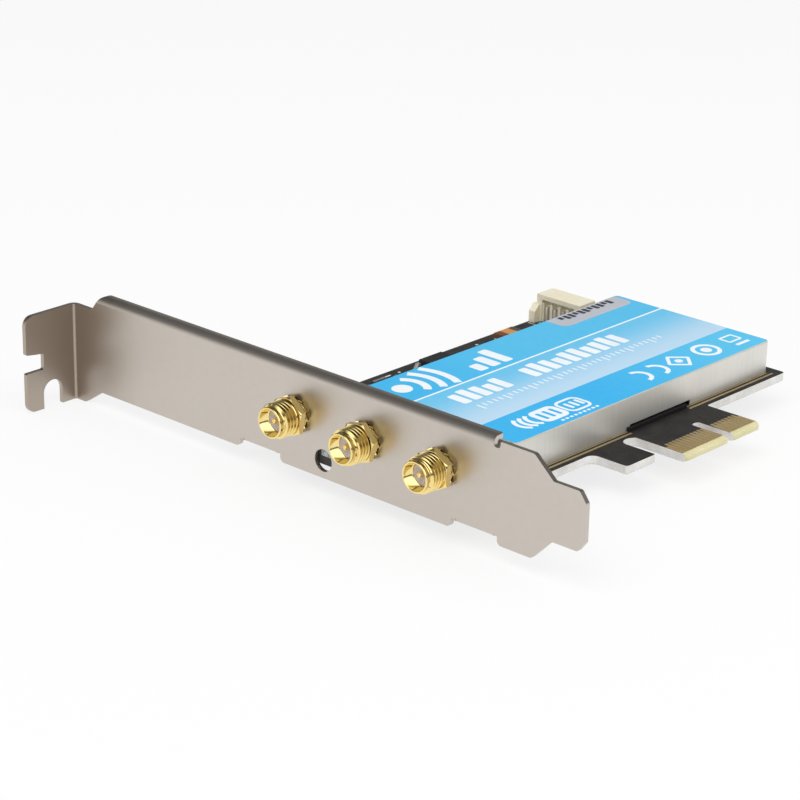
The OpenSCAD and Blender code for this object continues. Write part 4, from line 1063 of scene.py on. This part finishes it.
@dataclass
class ShieldedRadio(Assembly):
    """The tinned can over the radio module, and the label printed with plain marks."""

    can_edge: float = 0.08
    label_low: Triple = (56.1, 16.6, 9.55)
    label_high: Triple = (91.7, 88.1, 9.67)
    corner: float = 0.8
    line_at: float = 66.6
    line_width: float = 0.45
    band_from: float = 82.2
    grey_low: Pair = (56.12, 66.8)
    grey_high: Pair = (61.0, 87.2)
    grey_corner: float = 1.7
    film: float = 0.015
    code_film: float = 0.01
    code_from: Pair = (56.6, 69.4)
    code_step: float = 1.4
    wave_middle: Pair = (61.3, 21.8)
    waves: tuple[Pair, ...] = ((5.2, 48.0), (8.2, 36.0), (11.2, 27.0))
    rising: tuple[float, ...] = (3.2, 5.1, 7.0)
    rising_foot: float = 65.2
    rising_near: Pair = (38.2, 40.5)
    rising_step: float = 3.3
    level_foot: float = 73.9
    level_rows: tuple[tuple[float, int], ...] = ((24.2, 5), (43.0, 10))
    level_step: float = 2.75
    level_width: float = 1.95
    scale_foot: float = 75.6
    scale_count: int = 38
    scale_near: Pair = (25.0, 25.34)
    scale_step: float = 1.35
    sign_line: float = 86.7
    round_signs: tuple[tuple[float, ...], ...] = (
        (56.0, 2.6, 0.85, 88.0), (60.8, 2.6, 0.85, 88.0), (67.4, 0.8, 0.79), (75.6, 2.9, 0.85),
        (75.6, 1.1, 1.09))
    diamond_half: float = 2.2
    diamond_at: float = 67.4
    arcs_at: Pair = (86.9, 25.4)
    arc_step: float = 1.45
    pill: tuple[Pair, Pair] = ((84.3, 27.6), (89.5, 34.0))
    slit: tuple[Pair, Pair] = ((85.4, 28.7), (88.4, 0.8))
    slit_step: float = 1.7
    open_pill: tuple[Pair, Pair] = ((84.3, 34.3), (89.5, 40.2))
    square: tuple[Pair, Pair] = ((84.6, 81.8), (87.6, 85.6))
    square_bar: tuple[Pair, Pair] = ((88.6, 81.8), (89.4, 85.6))
    bar_rows: tuple[tuple[int, float, Pair, Pair, float], ...] = (
        (3, 1.4, (85.7, 35.8), (88.1, 36.5), 0.25), (9, 1.15, (90.15, 30.0), (90.7, 30.7), 0.12))

    def _bar(self, low: Pair, high: Pair, radius: float = 0.3) -> Piece:
        """Build a printed bar between two corners of the label's plane."""
        top = self.label_high[2]
        return Bench.rounded("bar", (*low, top), (*high, top + self.film), radius)

    def _row(self, count: int, step: float, low: Pair, high: Pair, radius: float) -> list[Piece]:
        """Return a row of equal printed bars, a step apart along Y, from the first one's two corners."""
        return [self._bar((low[0], low[1] + step * k), (high[0], high[1] + step * k), radius)
                for k in range(count)]

    def _ring(self, x: float, y: float, radius: float, width: float, half: float = 180.0,
              turn: float = 0.0) -> Piece:
        """Build a printed ring, or the arc of it that faces along Y.

        Args:
            x, y: The ring's middle in millimetres.
            radius: Its outer radius.
            width: The width of its line.
            half: Half of the arc's angle in degrees, 180 for the whole ring.
            turn: Degrees that the arc is turned from facing along Y.

        Returns:
            The flat ring.
        """
        top = self.label_high[2]
        piece = Bench.turned("ring", [(radius, top), (radius, top + self.film)], 56)
        Bench.carve(piece, Bench.turned("inner", [(radius - width, top - 1), (radius - width, top + 1)], 56))
        if half < 180:
            angle = math.radians(half)
            for side in (1, -1):
                Bench.cut(piece, (0, 0, top), (side * math.cos(angle), -math.sin(angle), 0), drop=True)
        return Bench.place(piece, (x, y, 0), (0, 0, turn))

    def _hollow(self, low: Pair, high: Pair, radius: float, width: float) -> Piece:
        """Build the outline of a printed bar.

        Args:
            low, high: The bar's corners in millimetres.
            radius: Its corners' radius.
            width: The width of its line.

        Returns:
            The flat outline.
        """
        piece, top = self._bar(low, high, radius), self.label_high[2]
        Bench.carve(piece, Bench.rounded(
            "hole", (low[0] + width, low[1] + width, top - 1), (high[0] - width, high[1] - width, top + 1),
            max(radius - width, 0.1)))
        return piece

    def _strip_marks(self) -> list[Piece]:
        """Build the waves and the rising bars of the near strip.

        Returns:
            The flat marks.
        """
        pieces = [self._ring(*self.wave_middle, radius, 1.5, half) for radius, half in self.waves]
        pieces.append(self._ring(*self.wave_middle, 1.9, 1.89))
        for k, tall in enumerate(self.rising):
            near, far = (place + self.rising_step * k for place in self.rising_near)
            pieces.append(self._bar((self.rising_foot - tall, near), (self.rising_foot, far), 0.5))
        return pieces

    def _zone_marks(self) -> list[Piece]:
        """Build the row of level bars and the fine scale under it.

        Returns:
            The flat marks.
        """
        pieces = []
        for start, count in self.level_rows:
            for k in range(count):
                tall, near = 3.6 + 1.6 * abs(math.sin(0.9 * k + 0.6)), start + self.level_step * k
                far = near + self.level_width
                pieces.append(self._bar((self.level_foot - tall, near), (self.level_foot, far), 0.4))
        for k in range(self.scale_count):
            end = self.scale_foot + (2.2 if k % 5 == 0 else 1.3)
            near, far = (place + self.scale_step * k for place in self.scale_near)
            pieces.append(self._bar((self.scale_foot, near), (end, far), 0.1))
        return pieces

    def _band_marks(self) -> list[Piece]:
        """Build the pill at the band's near end and the row of plain signs.

        Returns:
            The flat marks.
        """
        arc_x, arc_y = self.arcs_at
        pieces = [self._ring(arc_x, arc_y + self.arc_step * k, 2.9, 0.8, 58.0, 180.0) for k in range(3)]
        filled = self._bar(*self.pill, 1.4)
        (slit_from, start), (slit_to, wide) = self.slit
        for k in range(3):
            near = start + self.slit_step * k
            hole = Bench.rounded("hole", (slit_from, near, 9.0), (slit_to, near + wide, 10.5), 0.3)
            Bench.carve(filled, hole)
        pieces += [filled, self._hollow(*self.open_pill, 1.6, 0.6)]
        for row in self.bar_rows:
            pieces += self._row(*row)
        pieces += [self._ring(self.sign_line, *sign) for sign in self.round_signs]
        half = self.diamond_half
        pieces.append(Bench.place(self._hollow((-half, -half), (half, half), 0.5, 0.65),
                                  (self.sign_line, self.diamond_at, 0), (0, 0, 45)))
        return pieces + [self._hollow(*self.square, 0.5, 0.5), self._bar(*self.square_bar, 0.2)]

    def _field(self) -> Piece:
        """Build the grey field at the label's edge, rounded at its inner corners alone.

        Returns:
            The flat field.
        """
        top = self.label_high[2]
        grey = Bench.block("label_field", (*self.grey_low, top), (*self.grey_high, top + self.film))
        inner = (self.grey_high[0] - 0.1) * MM
        with Bench.editing(grey, Pick.EDGES, lambda a, b: abs(a.z - b.z) > 1e-6 and min(a.x, b.x) > inner):
            bpy.ops.mesh.bevel(offset=self.grey_corner * MM, segments=6, affect="EDGES")
        return grey

    def _code(self) -> Piece:
        """Build the row of small dark blocks on the grey field.

        Returns:
            All the blocks as one piece.
        """
        x, top = self.code_from[0], self.label_high[2] + self.film
        blocks = []
        for k in range(11):
            near, end = self.code_from[1] + self.code_step * k, x + (1.9 if k % 3 else 1.3)
            blocks.append(Bench.rounded("code", (x, near, top), (end, near + 1.0, top + self.code_film), 0.2))
        return Bench.join("label_code", blocks)

    def _label(self) -> None:
        """Build the label's film with its fields of colour."""
        film = Bench.rounded("label_film", self.label_low, self.label_high, self.corner)
        line_end = self.line_at + self.line_width
        for place in (self.line_at, line_end, self.band_from):
            Bench.cut(film, (place, 0, 0), ALONG_X)
        self.fit(film, SKY, "label_print", "label", others=(
            (WHITE_INK, lambda centre, normal: self.line_at * MM < centre.x < line_end * MM),
            (FADE, lambda centre, normal: line_end * MM < centre.x < self.band_from * MM),
            (BAND, lambda centre, normal: centre.x > self.band_from * MM),
            (FILM_EDGE, lambda centre, normal: abs(normal.z) < 0.5)))

    def build(self) -> None:
        """Build the can and its label."""
        self.fit(self.dress("shield_can", self.can_edge, segments=3), TIN, "tin", "shield_can")
        self._label()
        grey = self._field()
        marks = Bench.join("label_marks", self._strip_marks() + self._zone_marks() + self._band_marks())
        for piece, finish in ((grey, PLATE_GREY), (marks, WHITE_INK), (self._code(), DARK_INK)):
            self.fit(piece, finish, "label_print")


@dataclass
class BoardParts(Assembly):
    """The header, the lamp and the small parts along the board's edges."""

    rounding: dict[str, tuple[float, Finish, str]] = field(default_factory=lambda: {
        "header_housing": (0.12, CREAM, "header_plastic"),
        "header_pins": (0.06, TIN, "tin"),
        "header_anchors": (0.05, TIN, "tin"),
        "led_terminals": (0.05, SOLDER, "tin"),
        "voltage_regulator": (0.12, EPOXY, "mould_compound"),
        "regulator_leads": (0.08, TIN, "tin"),
        "tantalum_capacitor": (0.14, RESIN, "tantalum_resin"),
        "tantalum_terminals": (0.05, TIN, "tin"),
        "ceramic_capacitors": (0.08, CERAMIC, "ceramic"),
        "chip_resistors": (0.05, EPOXY, "mould_compound"),
        "chip_terminals": (0.08, SOLDER, "tin"),
        "status_led": (0.08, CLEAR, "lamp")})
    notch_depth: float = 2.9
    slab: float = 1.6
    wedge_turn: float = 30.0
    wedge_half: float = 3.0
    wedge_shift: Pair = (-2.0, 1.95)
    foot_reach: float = 1.5
    foot_out: float = 0.7
    foot_in: float = 0.8
    foot_inset: float = 0.6
    foot_high: float = 3.5
    foot_slope: float = 1.2
    root_from: float = 0.62
    lead_rise: float = 0.55
    lead_shift: float = -0.9

    def _trim(self, housing: Piece) -> None:
        """Lower the housing's side walls past its top and slope the top's far left corner."""
        low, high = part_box("header_housing")
        left, right, far, top = low.x / MM, high.x / MM, high.y / MM, high.z / MM
        notch, slab, half = far - self.notch_depth, top - self.slab, self.wedge_half
        Bench.carve(housing, Bench.block("arms", (left - 1, notch, slab), (right + 1, far + 1, top + 1)))
        wedge = Bench.block("wedge", (-half, -half, slab), (half, half, top + 1))
        Bench.carve(housing, Bench.place(wedge, (left + self.wedge_shift[0], notch + self.wedge_shift[1], 0),
                                         (0, 0, self.wedge_turn)))

    def _feet(self, housing: Piece) -> Piece:
        """Set a foot with a sloped top before each side wall of the housing.

        Args:
            housing: The housing, which is used up.

        Returns:
            The housing with its feet.
        """
        low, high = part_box("header_housing")
        left, right, near, board = low.x / MM, high.x / MM, low.y / MM, low.z / MM
        pieces = [housing]
        for start, end in ((left - self.foot_out, left + self.foot_in),
                           (right - self.foot_in, right + self.foot_out)):
            foot = Bench.block("foot", (start, near - self.foot_reach, board),
                               (end, near + self.foot_inset, board + self.foot_high))
            with Bench.editing(foot, Pick.EDGES,
                               lambda a, b: min(a.z, b.z) > (board + 1) * MM and max(a.y, b.y) < near * MM):
                bpy.ops.mesh.bevel(offset=self.foot_slope * MM, segments=1, affect="EDGES")
            pieces.insert(0, foot)
        return Bench.join(housing.name, pieces)

    def _raise(self, leads: Piece) -> None:
        """Move the legs of the regulator to the body's corner and lift their roots."""
        low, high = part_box("voltage_regulator")
        board, face = low.z / MM - 0.1, low.y + 0.05 * MM
        for over, move in ((board - 1, (self.lead_shift * MM, 0, 0)),
                           (board + self.root_from, (0, 0, self.lead_rise * MM))):
            with Bench.editing(leads, Pick.EDGES,
                               lambda a, b: min(a.z, b.z) > over * MM and max(a.y, b.y) < face):
                bpy.ops.transform.translate(value=move)

    def build(self) -> None:
        """Dress each of the small parts with softer edges and its finish."""
        for node, (width, finish, slot) in self.rounding.items():
            piece = self.dress(node, 0.0 if node == "header_housing" else width)
            if node == "header_housing":
                self._trim(piece)
                piece = self._feet(piece)
                Bench.soften(piece, width)
            if node == "regulator_leads":
                self._raise(piece)
            self.fit(piece, finish, slot, node)


@dataclass
class Studio:
    """The camera of the photograph, a pale floor and plain soft lights."""

    azimuth: float = 42.49
    elevation: float = 21.16
    roll: float = 1.03
    distance: float = 441.4
    target: Triple = (71.65, 10.0, 13.64)
    focal: float = 2635.5
    image: int = 800
    sensor: float = 36.0
    window_side: Triple = (0.63, -0.69, 0.0)
    window_height: Pair = (0.1, 0.3)
    window_edge: Pair = (0.1, 0.5)
    window_level: float = 1.7
    second_level: float = 0.4
    second_depth: Pair = (2.4, 2.6)
    dark_level: float = 0.13
    surround: float = 0.55
    lamp_aim: Triple = (0.07, 0.04, 0.0)
    floor_tone: float = 0.86
    floor_glow: float = 0.8

    def _camera(self) -> None:
        """Set the camera where the photograph was taken from."""
        azimuth, elevation, roll = (math.radians(a) for a in (self.azimuth, self.elevation, self.roll))
        ahead = Vector((-math.sin(azimuth) * math.cos(elevation), math.cos(azimuth) * math.cos(elevation),
                        -math.sin(elevation)))
        right = ahead.cross(Vector((0, 0, 1))).normalized()
        up = right.cross(ahead)
        across = math.cos(roll) * right + math.sin(roll) * up
        upright = -math.sin(roll) * right + math.cos(roll) * up
        Bench.clear()
        bpy.ops.object.camera_add(location=(Vector(self.target) - ahead * self.distance) * MM)
        camera = bpy.context.object
        camera.name = "camera"
        place = camera.matrix_world.copy()
        for row in range(3):
            place[row][0], place[row][1], place[row][2] = across[row], upright[row], -ahead[row]
        camera.matrix_world = place
        camera.data.sensor_width = self.sensor
        camera.data.lens = self.focal * self.sensor / self.image
        camera.data.clip_start = 0.01
        bpy.context.scene.camera = camera

    def _lamp(self, name: str, place: Triple, size: float, power: float) -> None:
        """Add a square soft lamp that faces the card.

        Args:
            name: The lamp's name.
            place: Where it stands, in metres.
            size: The length of its side, in metres.
            power: Its power in watts.
        """
        Bench.clear()
        bpy.ops.object.light_add(type="AREA", location=place)
        lamp = bpy.context.object
        lamp.name = name
        lamp.data.size = size
        lamp.data.energy = power
        lamp.visible_glossy = False
        lamp.rotation_euler = (Vector(self.lamp_aim) - Vector(place)).to_track_quat("-Z", "Y").to_euler()

    @staticmethod
    def _seen(work: Wiring) -> Socket:
        """Return a socket that is 1 where the camera, a mirror or clear plastic sees the surface."""
        path = work.add("LightPath")
        mirrored = work.math("MAXIMUM", path["Is Camera Ray"], path["Is Glossy Ray"])
        return work.math("MAXIMUM", mirrored, path["Is Transmission Ray"])

    def _world(self) -> None:
        """Set a surround of plain soft light, in which metal also shows a window and a dark screen."""
        world = bpy.data.worlds.new("surround")
        world.use_nodes = True
        bpy.context.scene.world = world
        work = Wiring(world.node_tree)
        place = work.add("TexCoord")["Generated"]
        rise = work.add("SeparateXYZ", {"Vector": place})["Z"]
        window = work.ramp(rise, self.window_height, (self.dark_level, self.window_level))
        screen = work.ramp(rise, self.window_height, (1.0, self.dark_level))
        side = work.ramp(work.dot(place, self.window_side), self.window_edge)
        path = work.add("LightPath")
        again = work.ramp(path["Ray Depth"], self.second_depth, (1.0, self.second_level))
        dimmed = work.math("MULTIPLY", work.mix(side, screen, window), again)
        mirrored = work.mix(path["Is Camera Ray"], dimmed, 1.0)
        work.fill(world.node_tree.nodes["Background"], {
            "Color": (1, 1, 1, 1), "Strength": work.mix(self._seen(work), self.surround, mirrored)})

    def _floor(self) -> None:
        """Lay a pale floor under the card, which keeps the card's shadow."""
        Bench.clear()
        low = min(corner[2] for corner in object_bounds())
        bpy.ops.mesh.primitive_plane_add(size=6.0, location=(0.06, 0.045, low))
        floor = Bench.take("floor")
        bpy.ops.object.transform_apply(location=True, rotation=True, scale=True)
        material = bpy.data.materials.new("pale_floor")
        material.use_nodes = True
        work = Wiring(material.node_tree)
        shader = material.node_tree.nodes["Principled BSDF"]
        work.fill(shader, {
            "Base Color": (*[self.floor_tone] * 3, 1), "Roughness": 0.9, "Specular IOR Level": 0.1})
        glow = work.add("Emission", {"Strength": 1.0})
        share = work.math("MULTIPLY", self._seen(work), self.floor_glow)
        mix = work.add("MixShader", {"Fac": share, 1: shader.outputs["BSDF"], 2: glow["Emission"]})
        work.fill(material.node_tree.nodes["Material Output"], {"Surface": mix["Shader"]})
        floor.data.materials.append(material)
        floor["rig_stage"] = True

    def build(self) -> None:
        """Set up the camera, the lamps, the surround and the floor."""
        self._camera()
        self._lamp("key_lamp", (0.2, -0.4, 0.8), 0.7, 4.6)
        self._lamp("fill_lamp", (0.75, 0.15, 0.45), 0.6, 2.0)
        self._world()
        self._floor()
        bpy.context.scene.view_settings.view_transform = "Standard"


def finish_nodes(nodes: dict[str, Piece], record: dict) -> None:
    """Give every CAD node the finish of its material slot.

    Args:
        nodes: The CAD nodes by name.
        record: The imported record, which names each node's slot.
    """
    slots = {part["node"]: part["material_slot"] for part in record["subparts"]}
    for name, node in nodes.items():
        for place in node.material_slots:
            place.material = SLOT_FINISH[slots[name]].material()
        LOG.info("%s: finish %s", name, SLOT_FINISH[slots[name]].name)


def main() -> None:
    """Build the whole card, assembly by assembly, and its studio."""
    logging.basicConfig(level=logging.INFO, format="%(name)s: %(message)s")
    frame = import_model()
    nodes = frame["nodes"]
    finish_nodes(nodes, frame["record"])
    Studio().build()
    for kind in (SlotBracket, AntennaJacks, CardBoard, ShieldedRadio, BoardParts):
        kind(nodes).build()
        LOG.info("%s is built", kind.__name__)
    Bench.clear()


if __name__ == "__main__":
    main()
